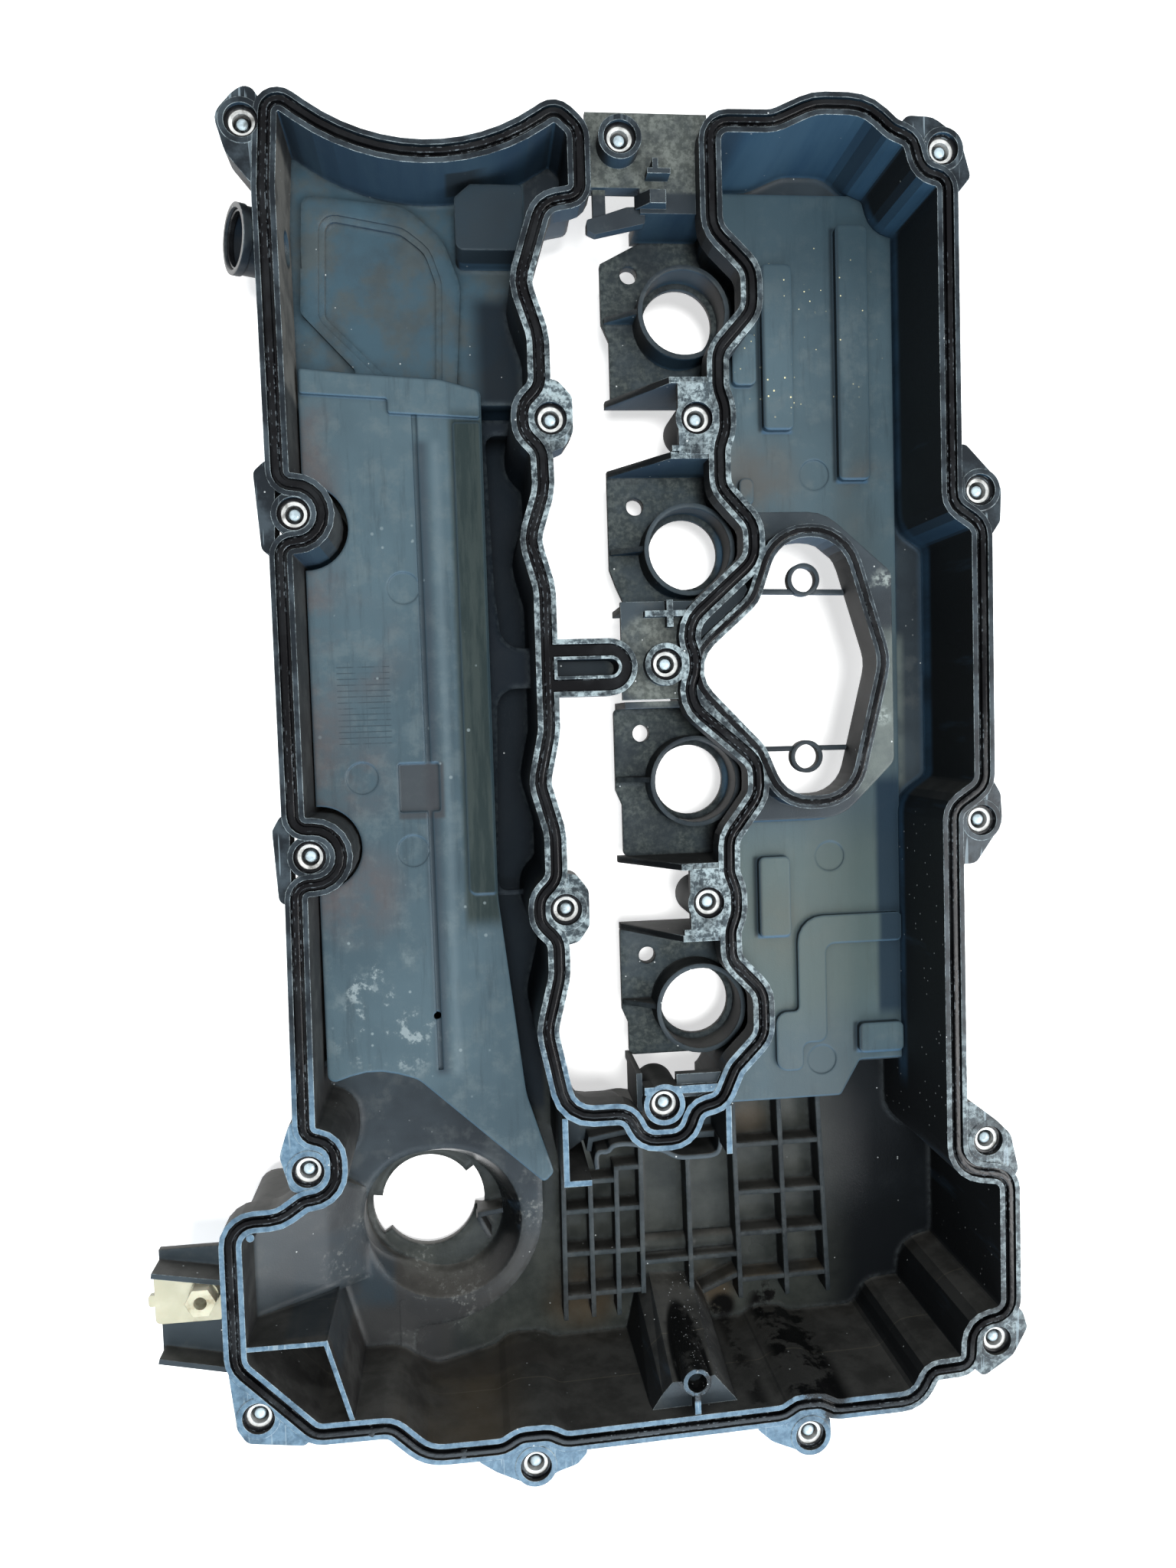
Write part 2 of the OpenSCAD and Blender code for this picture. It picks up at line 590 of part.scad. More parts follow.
// Ramp under the dish, from the corner floor down to the chain case's roof
module lower_ramp() {
  intersection() {
    slab([[-126, -284, 2], [-114, -294.8, 4], [-80, -294.8, 1], [-80, -262, 1], [-126, -262, 1]],
         -chamber_depth - 1, 0);
    side_fin([[-130, -chamber_depth - 2], [-78, -chamber_depth - 2], [-84, -chamber_depth + 1],
              [-121, -filler_depth - 0.5], [-130, -filler_depth + 1]], -278, 60);
  }
}

// Upright walls inside the chambers
module inner_walls() {
  // Chain case, round the end of the valley
  fin([-57.6, -171], [-57.6, -196.5], 2.2, -chamber_depth - 1, -0.6);
  fin([-58.7, -196.5], [-48, -196.5], 2.2, -chamber_depth - 1, -0.6);
  fin([5.8, -170], [5.8, -189], 2.2, -chamber_depth - 1, -0.6);
  fin([-47, -191.5], [-46, -186], 2, -chamber_depth - 1, -20);
  fin([-46, -187], [-27, -184], 2, -chamber_depth - 1, -20);
  fin([-15, -188.7], [5, -188.7], 2.4, -chamber_depth - 1, -22);
  // Chain case, left corner
  fin([-180.5, -250.5], [-150.5, -250.5], 1.8, -filler_depth - 1, -0.6);
  fin([-150.5, -249.6], [-141.2, -282.5], 1.8, -filler_depth - 1, -0.6);
  post(-176, -208, 3, -filler_depth - 1, -0.6);
  // Pump bay: boxed fitting against the valley wall
  slab([[-87, 157, 3], [-87, 176, 2], [-81, 181, 1], [-61.5, 181, 1], [-61.5, 157, 1]], -bay_depth - 1, -15);
  corner_slope();
  lower_ramp();
}

// Stepped pan pressed into the pump-bay roof
pan_outer = [
  [-145, 184, 4], [-147.2, 139.5, 4], [-127.3, 118, 3], [-127.3, 108, 1], [-88.5, 108, 1], [-85.6, 150.5, 14],
  [-92, 168, 14], [-106, 180, 12]
];
pan_inner = [
  [-136.6, 175, 4], [-138.1, 138, 4], [-119.6, 119.6, 3], [-114, 114, 1], [-96.2, 114, 1], [-95, 151, 12],
  [-99, 163, 9], [-108, 170, 8]
];
pan_rim = 2.2;
pan_step = 1.4;
module bay_pan() {
  difference() {
    slab(pan_outer, -bay_depth - 1, -bay_depth + pan_rim);
    slab(pan_inner, -bay_depth + pan_step, -bay_depth + pan_rim + 1, -2.4);
    slab(pan_inner, -bay_depth - 2, -bay_depth + pan_rim + 1);
  }
}

// Plate over the channel beside the separator, with two rounded windows
channel_z = -38;
channel_t = 2;
channel_windows = [
  [[-78, 94, 4], [-76.4, 34, 12], [-74, 9.5, 9], [-56, 9.5, 2], [-56, 94, 2]],
  [[-76.6, -6.5, 8], [-78.4, -70, 3], [-78.4, -88, 3], [-56, -88, 2], [-56, -6.5, 2]]
];
module channel_plate() {
  difference() {
    translate([0, 0, channel_z - channel_t])
      linear_extrude(channel_t)
        intersection() {
          track_area(in_edge + 1);
          polygon(outline([[-82, 100, 1], [-82, -90, 1], [-50, -90, 1], [-50, 100, 1]]));
        }
    for (w = channel_windows)
      slab(w, channel_z - channel_t - 1, channel_z + 1);
  }
}

// Ledges that the two baffles are welded to
ledge_t = 2.4;
module baffle_ledges() {
  fin([-81.5, 106], [-81.5, -92], ledge_t, -chamber_depth - 1, -separator_depth - baffle_t);
  fin([-81.5, -91], [-73, -168], ledge_t, -chamber_depth - 1, -separator_depth - baffle_t);
  fin([-153, 104], [-80.4, 104], ledge_t, -chamber_depth - 1, -separator_depth - baffle_t);
  fin([-153, -153.5], [-116, -153.5], ledge_t, -chamber_depth - 1, -separator_depth - baffle_t);
  fin([-116.5, -153], [-72, -193], ledge_t, -chamber_depth - 1, -separator_depth - baffle_t);
  fin([92.6, 178], [92.6, -168], ledge_t, -chamber_depth - 1, -cam_baffle_depth - baffle_t);
  fin([8, -183], [65, -183], ledge_t, -chamber_depth - 1, -cam_baffle_depth - baffle_t);
  fin([64.4, -183.8], [73.4, -169.2], ledge_t, -chamber_depth - 1, -cam_baffle_depth - baffle_t);
  fin([73, -169.5], [95, -169.5], ledge_t, -chamber_depth - 1, -cam_baffle_depth - baffle_t);
}

// Screw eyes on thin webs across the motor opening
eye_d = 12.8;
eye_bore_d = 9.6;
eye_z = [-18, -14];
eyes = [[43.6, 32.2], [43.6, -37]];
module eye_webs() {
  for (e = eyes)
    post(e.x, e.y, eye_d, eye_z[0], eye_z[1]);
  fin([10, 28.4], [75, 26.8], 2, eye_z[0], eye_z[1] - 1);
  fin([12, -33.5], [72, -34], 2, eye_z[0], eye_z[1] - 1);
}

module seal_grooves() {
  translate([0, 0, -groove_d])
    linear_extrude(groove_d + 1)
      groove_area();
  translate([0, 0, -4])
    linear_extrude(6)
      difference() {
        egg_area(egg_groove / 2);
        egg_area(-egg_groove / 2);
      }
}

module bores_through() {
  for (b = bolts)
    post(b.x, b.y, boss_bore_d, -boss_h - 20, 1);
  for (b = bores) {
    post(b.x, b.y, coil_bore_d, -valley_depth - 10, -valley_depth + 1);
    post(b.x, b.y, collar_bore_d, -valley_depth, -valley_depth + collar_h + 0.5);
    post(b.x - 19, b.y + 19.4, coil_screw_d, -valley_depth - 10, -valley_depth + 1);
  }
  post(boss_pos.x, boss_pos.y, 7.6, -9, 1);
  for (e = eyes)
    post(e.x, e.y, eye_bore_d, eye_z[0] - 1, eye_z[1] + 1);
  translate([0, 0, -valley_depth - 1])
    linear_extrude(valley_depth + 2)
      slot_area(port_x[0] + port_lip, port_x[1] - port_lip, port_half - port_lip);
}

module outer_solids() {
  flange_and_walls();
  ears();
  valley_end();
  valley_floor();
  valley_webs();
  branch();
  breather_tube();
  bracket();
}
module bored_moulding() {
  difference() {
    union() {
      difference() {
        union() {
          difference() {
            outer_solids();
            chamber();
            translate([0, 0, -chamber_depth - 10])
              linear_extrude(chamber_depth + 12)
                egg_area(egg_in);
          }
          roof_grid();
          guide_tower();
          inner_walls();
          bay_pan();
          channel_plate();
          baffle_ledges();
        }
        outside_recesses();
      }
      filler_neck();
      eye_webs();
    }
    seal_grooves();
    bores_through();
    filler_bore();
    breather_bore();
  }
}
module cover_shell() {
  color(nylon)
    union() {
      bored_moulding();
      bayonet_tabs();
    }
}

// Separator baffle of the left chamber
separator_corners = [
  [-149, 118, 2], [-128.5, 116, 6], [-95.3, 113.8, 6], [-79.3, 109.5, 3], [-79.3, -89.5, 20],
  [-70.7, -169.8, 20], [-60.5, -203, 2.5], [-64.5, -207, 2], [-113.5, -161.3, 10], [-130.7, -155.5, 30],
  [-149, -161.3, 3]
];
separator_head = [
  [-148.4, 117.4, 1], [-128.3, 115.4, 6], [-95.1, 113.2, 6], [-80, 109, 3], [-80, 98.5, 1], [-115.3, 100.5, 1],
  [-115.3, 106, 1], [-148.4, 108, 1]
];
separator_strip = [[-90.5, 97, 1], [-90.5, -88, 3], [-80, -88, 1], [-80, 97, 1]];
module separator_baffle() {
  top = -separator_depth;
  color(baffle_nylon)
    difference() {
      union() {
        slab(separator_corners, top - baffle_t, top);
        slab(separator_head, top - 1, top + 1.6);
        slab(separator_strip, top - 1, top + 1);
      }
      // Crease along the plate, and the pocket beside it
      fin([-105.4, 100], [-104.4, -158], 2, top - 1.2, top + 10);
      slab([[-116.7, -54.2, 1], [-116.7, -35, 1], [-100.7, -35, 1], [-100.7, -54.2, 1]], top - 1.3, top + 10);
      for (b = [bolts[3], bolts[5]])
        post(b.x, b.y, 33, top - 10, top + 10);
      post(-105, -136.1, 3, top - 10, top + 10);
      for (c = [[-112, 33.5], [-112, -69.7]])
        post(c.x, c.y, 12.6, top - 0.4, top + 10);
      post(-130.7, -40.3, 12.6, top - 0.4, top + 10);
    }
}

// Baffle of the right chamber, wrapped round the motor opening
cam_corners = [[0, 193, 1], [93.2, 193, 1], [93.2, -169.5, 1], [74, -169.5, 2], [65.2, -184.5, 2], [0, -184.5, 1]];
cam_ribs = [
  [[68.5, 76.4], [81.8, 180]],
  [[36.9, 97], [49.6, 163.9]],
  [[30.6, -114], [44, -79.8]],
  [[72.9, -165.7], [92.3, -152.9]],
  [[24.2, 115.2], [34, 136.3]],
  [[26, 66.5], [31.9, 77.5]]
];
cam_channel = [
  [46.9, -146.3, 2], [46.9, -105.8, 11], [92.4, -105.8, 2], [92.4, -118, 2], [59.1, -118, 4],
  [59.1, -160.1, 4], [48.5, -160.1, 3], [48.5, -171.8, 3], [36.9, -171.8, 5], [36.9, -146.3, 5]
];
module cam_baffle() {
  top = -cam_baffle_depth;
  color(baffle_nylon)
    difference() {
      union() {
        translate([0, 0, top - baffle_t])
          linear_extrude(baffle_t)
            difference() {
              intersection() {
                track_area(in_edge - 0.3);
                polygon(outline(cam_corners));
              }
              polygon(outline(deck_base, 0.4));
            }
        for (r = cam_ribs)
          slab([[r[0].x, r[0].y, 2.5], [r[0].x, r[1].y, 2.5], [r[1].x, r[1].y, 2.5], [r[1].x, r[0].y, 2.5]],
               top - 1, top + 3.5);
        slab(cam_channel, top - 1, top + 2.5);
      }
      for (c = [[58.8, 79.2], [62.3, -80.9], [57.3, -168.5]])
        post(c.x, c.y, 12.6, top - 0.4, top + 10);
    }
}

// Press-in seal: a base that fills the groove and a proud bead
bead_w = 1.8;
bead_proud = 0.7;
module perimeter_gasket() {
  color(rubber)
    union() {
      translate([0, 0, -groove_d])
        linear_extrude(groove_d - 1.6)
          groove_area(0.1);
      translate([0, 0, -groove_d + 1])
        linear_extrude(groove_d - 1 + bead_proud)
          difference() {
            track_area(bead_w / 2);
            track_area(-bead_w / 2);
          }
    }
}
module motor_opening_seal() {
  color(rubber)
    translate([0, 0, -4])
      linear_extrude(4.3)
        difference() {
          egg_area(egg_groove / 2 - 0.1);
          egg_area(-egg_groove / 2 + 0.1);
          groove_area();
        }
}

// Captive bolts with their sleeves and rubber isolators
head_d = 15;
hex_af = 10;
tip_z = -4;
module bolt_sleeve(b) {
  color(steel)
    translate([b.x, along(b.y), -boss_h])
      difference() {
        cylinder(d = sleeve_d, h = boss_h - sleeve_recess);
        translate([0, 0, -1])
          cylinder(d = sleeve_bore_d, h = boss_h);
      }
}
module bolt_seal(b) {
  color(rubber)
    translate([b.x, along(b.y), -boss_h])
      difference() {
        cylinder(d = boss_bore_d, h = boss_h - 2);
        translate([0, 0, -1])
          cylinder(d = sleeve_d, h = boss_h);
      }
}
module cover_bolt(b) {
  color(steel)
    translate([b.x, along(b.y), 0]) {
      translate([0, 0, -boss_h - 1])
        cylinder(d = bolt_d, h = boss_h + 1 + tip_z - 1);
      translate([0, 0, tip_z - 1])
        cylinder(d1 = bolt_d, d2 = bolt_d - 1.4, h = 1);
      translate([0, 0, -boss_h - 1.6])
        cylinder(d = head_d, h = 1.6);
      translate([0, 0, -boss_h - 6.5])
        cylinder(d = hex_af / cos(30), h = 5.5, $fn = 6);
    }
}

module breather_seal() {
  color(rubber)
    breather_frame()
      translate([0, 0, -3])
        difference() {
          cylinder(d = breather_d - 2 * breather_wall, h = 2);
          translate([0, 0, -1])
            cylinder(d = breather_d - 2 * breather_wall - 2.4, h = 4);
        }
}

// Clip with a hollow hexagonal post, pressed on the bracket
clip_post = [-195.5, -232];
module wiring_clip() {
  color(cream)
    difference() {
      union() {
        slab([[-215.5, -245.5, 2], [-215.5, -225.3, 2], [-190, -228.4, 2], [-190, -245.5, 2]],
             bracket_z, bracket_z + 2.4);
        slab([[-217.8, -238.5, 1], [-217.8, -234, 1], [-214, -234, 0.5], [-214, -238.5, 0.5]],
             bracket_z, bracket_z + 2.4);
        post(clip_post.x, clip_post.y, 11, bracket_z, -8);
        translate([clip_post.x, along(clip_post.y), -9])
          cylinder(d = 11.5, h = 7, $fn = 6);
      }
      post(clip_post.x, clip_post.y, 4.8, bracket_z + 4, 0);
    }
}

translate(frame_shift) {
  cover_shell();
  separator_baffle();
  cam_baffle();
  perimeter_gasket();
  motor_opening_seal();
  breather_seal();
  wiring_clip();
  for (i = [0:18]) {
    cover_bolt(bolts[i]);
    bolt_sleeve(bolts[i]);
  }
  for (b = bolts)  // bolt_seals
      bolt_seal(b);
}
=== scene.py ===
import json
import math

import bmesh
import bpy
from mathutils import Matrix, Vector


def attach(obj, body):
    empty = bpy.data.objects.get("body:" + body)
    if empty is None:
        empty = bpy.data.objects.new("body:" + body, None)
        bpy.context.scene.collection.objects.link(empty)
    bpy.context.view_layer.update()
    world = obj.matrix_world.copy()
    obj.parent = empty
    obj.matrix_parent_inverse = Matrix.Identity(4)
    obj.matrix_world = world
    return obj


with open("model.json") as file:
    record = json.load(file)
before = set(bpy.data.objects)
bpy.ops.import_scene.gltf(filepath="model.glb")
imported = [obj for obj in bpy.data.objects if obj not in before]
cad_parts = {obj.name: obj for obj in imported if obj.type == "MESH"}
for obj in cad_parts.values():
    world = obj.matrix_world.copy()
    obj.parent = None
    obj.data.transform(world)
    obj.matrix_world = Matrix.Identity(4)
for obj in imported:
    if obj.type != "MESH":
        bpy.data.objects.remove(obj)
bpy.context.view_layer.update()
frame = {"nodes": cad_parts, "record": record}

# Drawing frame of the cover, in mm: midway along the coil bores, on the gasket face
MM = 0.001
mounts = {m["name"]: Vector(m["pos_m"]) for m in frame["record"]["mounts"]}
bores = [mounts["coil_bore_%d" % i] for i in (1, 2, 3, 4)]
bore_middle = sum(bores, Vector()) / len(bores)
ORIGIN = Vector((bore_middle.x, bore_middle.y, mounts["gasket_face"].z))
BOLTS = range(1, 20)


# Place in the frame of a point of the drawing
def at(x, y, z=0.0):
    return ORIGIN + Vector((x, y, z)) * MM


# Height in the frame of what lies so many mm below the gasket face
def below(depth):
    return ORIGIN.z - depth * MM


def rgb(r, g, b):
    return (r, g, b, 1.0)


# Camera over the open side, as in the photograph: its place in the drawing and its turn in degrees
CAMERA_AT = (-90.2, -20.4, 426.9)
CAMERA_TURN = (-2.955, -6.138, -1.757)
FOCAL_PIXELS = 1500
IMAGE_HEIGHT = 2048
SENSOR = 36.0
NEAREST_SEEN = 0.01
FURTHEST_SEEN = 20


def make_camera():
    data = bpy.data.cameras.new("camera")
    data.sensor_width = SENSOR
    data.lens = SENSOR * FOCAL_PIXELS / IMAGE_HEIGHT
    data.clip_start = NEAREST_SEEN
    data.clip_end = FURTHEST_SEEN
    cam = bpy.data.objects.new("camera", data)
    bpy.context.scene.collection.objects.link(cam)
    cam.location = at(*CAMERA_AT)
    cam.rotation_euler = [math.radians(a) for a in CAMERA_TURN]
    bpy.context.scene.camera = cam


# Colour sockets of the Mix node, which share their names with its other sockets
MIX_FACTOR = 0
MIX_FIRST = 6
MIX_SECOND = 7
MIX_RESULT = 2

BEVEL_SAMPLES = 6
OPENNESS_SAMPLES = 5
SPECK_CORE = 0.6
SPECK_STEP = 0.01
SCRATCH_STRETCH = (1, 0.06, 1)
SCRATCH_STEP = 0.04


# Material of one finish: its nodes, its masks and the colour laid so far
class Finish:
    def __init__(self, name):
        self.material = bpy.data.materials.new(name)
        self.material.use_nodes = True
        self.tree = self.material.node_tree
        self.shader = self.tree.nodes["Principled BSDF"]
        self.object = self.node("ShaderNodeTexCoord").outputs["Object"]
        self.geometry = self.node("ShaderNodeNewGeometry")
        flatten = self.node("ShaderNodeMapping")
        flatten.inputs["Scale"].default_value = (1, 1, 0)
        self.link(self.object, flatten.inputs["Vector"])
        self.plan = flatten.outputs["Vector"]

    def node(self, kind, **values):
        n = self.tree.nodes.new(kind)
        for key, value in values.items():
            setattr(n, key, value)
        return n

    def link(self, a, b):
        self.tree.links.new(a, b)

    def put(self, value, socket):
        if isinstance(value, bpy.types.NodeSocket):
            self.link(value, socket)
        else:
            socket.default_value = value

    def noise(self, scale, detail, roughness, stretch=(1, 1, 1), turn=0):
        mapping = self.node("ShaderNodeMapping")
        mapping.inputs["Rotation"].default_value = (0, 0, math.radians(turn))
        mapping.inputs["Scale"].default_value = stretch
        self.link(self.object, mapping.inputs["Vector"])
        n = self.node("ShaderNodeTexNoise")
        n.inputs["Scale"].default_value = scale
        n.inputs["Detail"].default_value = detail
        n.inputs["Roughness"].default_value = roughness
        self.link(mapping.outputs["Vector"], n.inputs["Vector"])
        return n.outputs["Fac"]

    def range(self, value, low, high, out_low=0.0, out_high=1.0, smooth=True):
        n = self.node("ShaderNodeMapRange")
        n.interpolation_type = "SMOOTHSTEP" if smooth else "LINEAR"
        n.inputs["From Min"].default_value = low
        n.inputs["From Max"].default_value = high
        n.inputs["To Min"].default_value = out_low
        n.inputs["To Max"].default_value = out_high
        self.put(value, n.inputs["Value"])
        return n.outputs["Result"]

    def math(self, what, a, b=0.0):
        n = self.node("ShaderNodeMath", operation=what)
        self.put(a, n.inputs[0])
        self.put(b, n.inputs[1])
        return n.outputs["Value"]

    def mix(self, factor, a, b):
        n = self.node("ShaderNodeMix", data_type="RGBA")
        self.put(factor, n.inputs[MIX_FACTOR])
        self.put(a, n.inputs[MIX_FIRST])
        self.put(b, n.inputs[MIX_SECOND])
        return n.outputs[MIX_RESULT]

    def axis(self, name, source=None):
        n = self.node("ShaderNodeSeparateXYZ")
        self.link(source or self.object, n.inputs[0])
        return n.outputs[name]

    def both(self, *masks):
        out = masks[0]
        for m in masks[1:]:
            out = self.math("MULTIPLY", out, m)
        return out

    def either(self, *masks):
        out = masks[0]
        for m in masks[1:]:
            out = self.math("MAXIMUM", out, m)
        return out

    # Two tones, mixed by a texture
    def blend(self, texture, low, high, tones):
        return self.mix(self.range(texture, low, high), *tones)

    # Lays a tone over the colour so far, where the mask is 1
    def lay(self, mask, tone, share=None):
        if share is not None:
            mask = self.both(mask, share)
        self.colour = self.mix(mask, self.colour, tone)

    # Normal with softened edges, and 1 along sharp edges, 0 on flats
    def edges(self, radius):
        bevel = self.node("ShaderNodeBevel", samples=BEVEL_SAMPLES)
        self.put(radius, bevel.inputs["Radius"])
        dot = self.node("ShaderNodeVectorMath", operation="DOT_PRODUCT")
        self.link(bevel.outputs["Normal"], dot.inputs[0])
        self.link(self.geometry.outputs["True Normal"], dot.inputs[1])
        return bevel.outputs["Normal"], self.math("SUBTRACT", 1.0, dot.outputs["Value"])

    # 0 deep in corners, 1 on open faces
    def openness(self, distance):
        n = self.node("ShaderNodeAmbientOcclusion", samples=OPENNESS_SAMPLES)
        n.inputs["Distance"].default_value = distance * MM
        return n.outputs["AO"]

    # 1 within any of the circles of the drawing plane: middle, radius and width of the soft rim, in mm
    def spots(self, *circles):
        masks = []
        for x, y, radius, soft in circles:
            n = self.node("ShaderNodeVectorMath", operation="DISTANCE")
            self.link(self.plan, n.inputs[0])
            centre = at(x, y)
            n.inputs[1].default_value = (centre.x, centre.y, 0)
            masks.append(self.range(n.outputs["Value"], radius * MM, (radius - soft) * MM))
        return self.either(*masks)

    # 1 between two places along an axis, in mm of the drawing
    def band(self, name, low, high, soft):
        start = getattr(ORIGIN, name.lower())
        value = self.axis(name)
        rise = self.range(value, start + (low - soft) * MM, start + (low + soft) * MM)
        fall = self.range(value, start + (high + soft) * MM, start + (high - soft) * MM)
        return self.both(rise, fall)

    # 1 inside a box of the drawing: low end, high end and softness along each axis named
    def region(self, box):
        return self.both(*[self.band(name, *limits) for name, limits in box.items()])

    # Sparse round specks
    def specks(self, scale, size, share):
        n = self.node("ShaderNodeTexVoronoi", feature="F1")
        n.inputs["Scale"].default_value = scale
        self.link(self.object, n.inputs["Vector"])
        dot = self.range(n.outputs["Distance"], size, size * SPECK_CORE)
        chance = self.axis("X", n.outputs["Color"])
        return self.both(dot, self.range(chance, 1 - share, 1 - share + SPECK_STEP))

    # Long thin scratches that run at an angle
    def scratches(self, turn, scale, amount):
        lines = self.noise(scale, 2, 0.5, SCRATCH_STRETCH, turn)
        return self.range(lines, 1 - amount, 1 - amount + SCRATCH_STEP)

    # Joins the colour laid so far, the roughness and a bump, its depth in mm, to the shader
    def finished(self, roughness, height, strength, depth, normal):
        self.put(self.colour, self.shader.inputs["Base Color"])
        self.put(roughness, self.shader.inputs["Roughness"])
        n = self.node("ShaderNodeBump")
        n.inputs["Strength"].default_value = strength
        n.inputs["Distance"].default_value = depth * MM
        self.put(height, n.inputs["Height"])
        self.link(normal, n.inputs["Normal"])
        self.link(n.outputs["Normal"], self.shader.inputs["Normal"])
        return self.material


# Tones of the shell; a pair is mixed by a texture
NYLON = rgb(0.015, 0.019, 0.023), rgb(0.036, 0.049, 0.058)
NYLON_GREY = rgb(0.052, 0.060, 0.062)
BAY_SLATE = rgb(0.034, 0.064, 0.084), rgb(0.046, 0.060, 0.064)
OIL_FILM = rgb(0.018, 0.021, 0.019), rgb(0.036, 0.040, 0.036)
ROOF_AMBER = rgb(0.060, 0.038, 0.018)
ROOF_SHADE = rgb(0.004, 0.005, 0.006)
LIT_WALL = rgb(0.018, 0.050, 0.092), rgb(0.030, 0.070, 0.110)
BRIGHT_LIT_WALL = rgb(0.022, 0.068, 0.128), rgb(0.038, 0.096, 0.158)
DIM_WARM_LIT_WALL = rgb(0.034, 0.033, 0.029), rgb(0.064, 0.063, 0.057)
WALL_AMBER = rgb(0.088, 0.066, 0.036)
PALE_SEAM_LINE = rgb(0.14, 0.13, 0.10)
FILLER_FILM = rgb(0.040, 0.037, 0.033)
STUB_BLACK = rgb(0.005, 0.007, 0.010)
SHADED_WALL = rgb(0.003, 0.0035, 0.004), rgb(0.016, 0.032, 0.050)
WARM_LIT_WALL = rgb(0.026, 0.024, 0.022), rgb(0.060, 0.060, 0.056)
BAY_WALL_LIT = rgb(0.190, 0.185, 0.168)
FOOT_BLUE_HIGHLIGHT = rgb(0.026, 0.066, 0.115)
CHANNEL_SHADE = rgb(0.004, 0.007, 0.011)
BOX_SHADE = rgb(0.013, 0.021, 0.028)
FLAT_GREEN = rgb(0.098, 0.118, 0.110)
WORN_SILVER = rgb(0.24, 0.28, 0.27)
SCUFFED_PLATE = rgb(0.024, 0.031, 0.032), rgb(0.066, 0.078, 0.074)
OLIVE_PLATE = rgb(0.052, 0.060, 0.055), rgb(0.115, 0.128, 0.118)
CORNER_SHADE = rgb(0.019, 0.029, 0.037)
WHITE_DUST = rgb(0.20, 0.21, 0.20)
LIP = rgb(0.008, 0.011, 0.014), rgb(0.034, 0.046, 0.055)
LIP_SILVER = rgb(0.042, 0.058, 0.066), rgb(0.34, 0.42, 0.44)
LIP_BLUE = rgb(0.060, 0.112, 0.165), rgb(0.125, 0.205, 0.275)
EAR_SCRATCH = rgb(0.26, 0.33, 0.37)
BARE_EDGE = rgb(0.50, 0.60, 0.63)
MOTOR_SHOULDER_HIGHLIGHT = rgb(0.045, 0.105, 0.170)
ROOF_SHOULDER_HIGHLIGHT = rgb(0.028, 0.066, 0.110)
CORNER_OCCLUSION_SHADE = rgb(0.003, 0.004, 0.005)
OIL = rgb(0.003, 0.003, 0.003)
SPARK = rgb(0.65, 0.68, 0.70)
PALE_DUST = rgb(0.42, 0.45, 0.45)

# Regions of the shell, in the drawing
PUMP_BAY = {"Y": (104, 230, 1), "X": (-160, -60, 1)}
LIT_LENGTH = {"Y": (-190, 300, 12)}
BRIGHT_WIDTH = {"X": (20, 140, 3)}
SHADED_WIDTH = {"X": (64, 200, 18)}
WALL_SEAM = {"Z": (-33.3, -32.9, 0.25), "Y": (-330, -240, 4)}
FILLER_FOOT = {"X": (-160, -62, 8), "Y": (-300, -236, 10), "Z": (-60, -44, 2)}
BREATHER_STUB = {"X": (-200, -159, 1), "Y": (140, 180, 1), "Z": (-40, -6, 1)}
BAY_LEFT_WALL = {"Y": (104, 190, 2), "X": (-175, -120, 2)}
RIGHT_WALL_FOOT = {"X": (78, 112, 2), "Z": (-50, -41, 2.5), "Y": (-178, 190, 6)}
DEEP_CHANNEL = {"X": (-88, -61, 1.5), "Y": (-190, 105, 3), "Z": (-90, -12, 1)}
BAY_END = {"X": (-81, -61, 5), "Y": (104, 146, 4), "Z": (-60, -12, 1)}
BAY_BOX = {"X": (-90, -60, 1), "Y": (148, 184, 1), "Z": (-28, -9, 1)}
MOTOR_FLAT = {"X": (62, 97, 2), "Y": (-52, 12, 3), "Z": (-60, -10, 1)}
WORN_HEIGHT = {"Z": (-30, -10, 1)}
VALLEY_PLATES = {"X": (-38, 26, 1), "Y": (-182, 172, 3), "Z": (-40, -28, 1)}
VALLEY_END = {"X": (-38, 8, 1), "Y": (176, 206, 1)}
SHELF_HEIGHT = {"Z": (-20, -3, 1)}
LEFT_CORNER = {"X": (-166, -128, 2), "Y": (-264, -226, 3), "Z": (-62, -5, 1)}
VALLEY_LIPS = {"X": (-66, 24, 3), "Y": (-182, 150, 6)}
RIGHT_LIPS = {"Y": (-330, -150, 20), "X": (68, 150, 22)}
LOWER_LIPS = {"Y": (-330, -150, 20), "X": (-240, 68, 22)}
MOTOR_SHOULDER = {"Z": (-37, -29, 1), "X": (14, 104, 2), "Y": (-90, 90, 4)}
ROOF_SHOULDER = {"Z": (-54, -38, 2), "X": (60, 118, 2), "Y": (-170, 200, 4)}
TOWER_HEIGHT = {"Z": (-40, -4, 1)}

# Stained, worn and oily circles of the shell
ROOF_STAINS = [(30, -202, 14, 12), (12, -276, 16, 13), (-138, -300, 26, 20), (-48, -276, 22, 18)]
WALL_STAINS = [(-105, -292, 36, 26), (28, -268, 18, 14), (66, -268, 18, 14)]
WORN_PLACES = [(75.5, 29, 8, 5), (74.5, -22, 5, 4)]
PORT_PLATE = (-16, 2, 20, 5)
FILLER_DUST = [(-60, -223, 22, 10), (-142, -237, 20, 12), (-110, -262, 26, 12)]
TOWER_OIL = (-8, -274, 9, 4)
TOWER_FOOT_OIL = (-9, -279.4, 8, 1.5)
LOWER_WALL_OIL = [(40, -288, 16, 7), (16, -286, 8, 4)]
TOWER_SPARKS = (-4, -275, 10, 5)

# Scratches on the bolt ears: angle, fineness and how many
EAR_SCRATCHES = [(35, 500, 0.36), (-50, 430, 0.35), (80, 480, 0.36)]
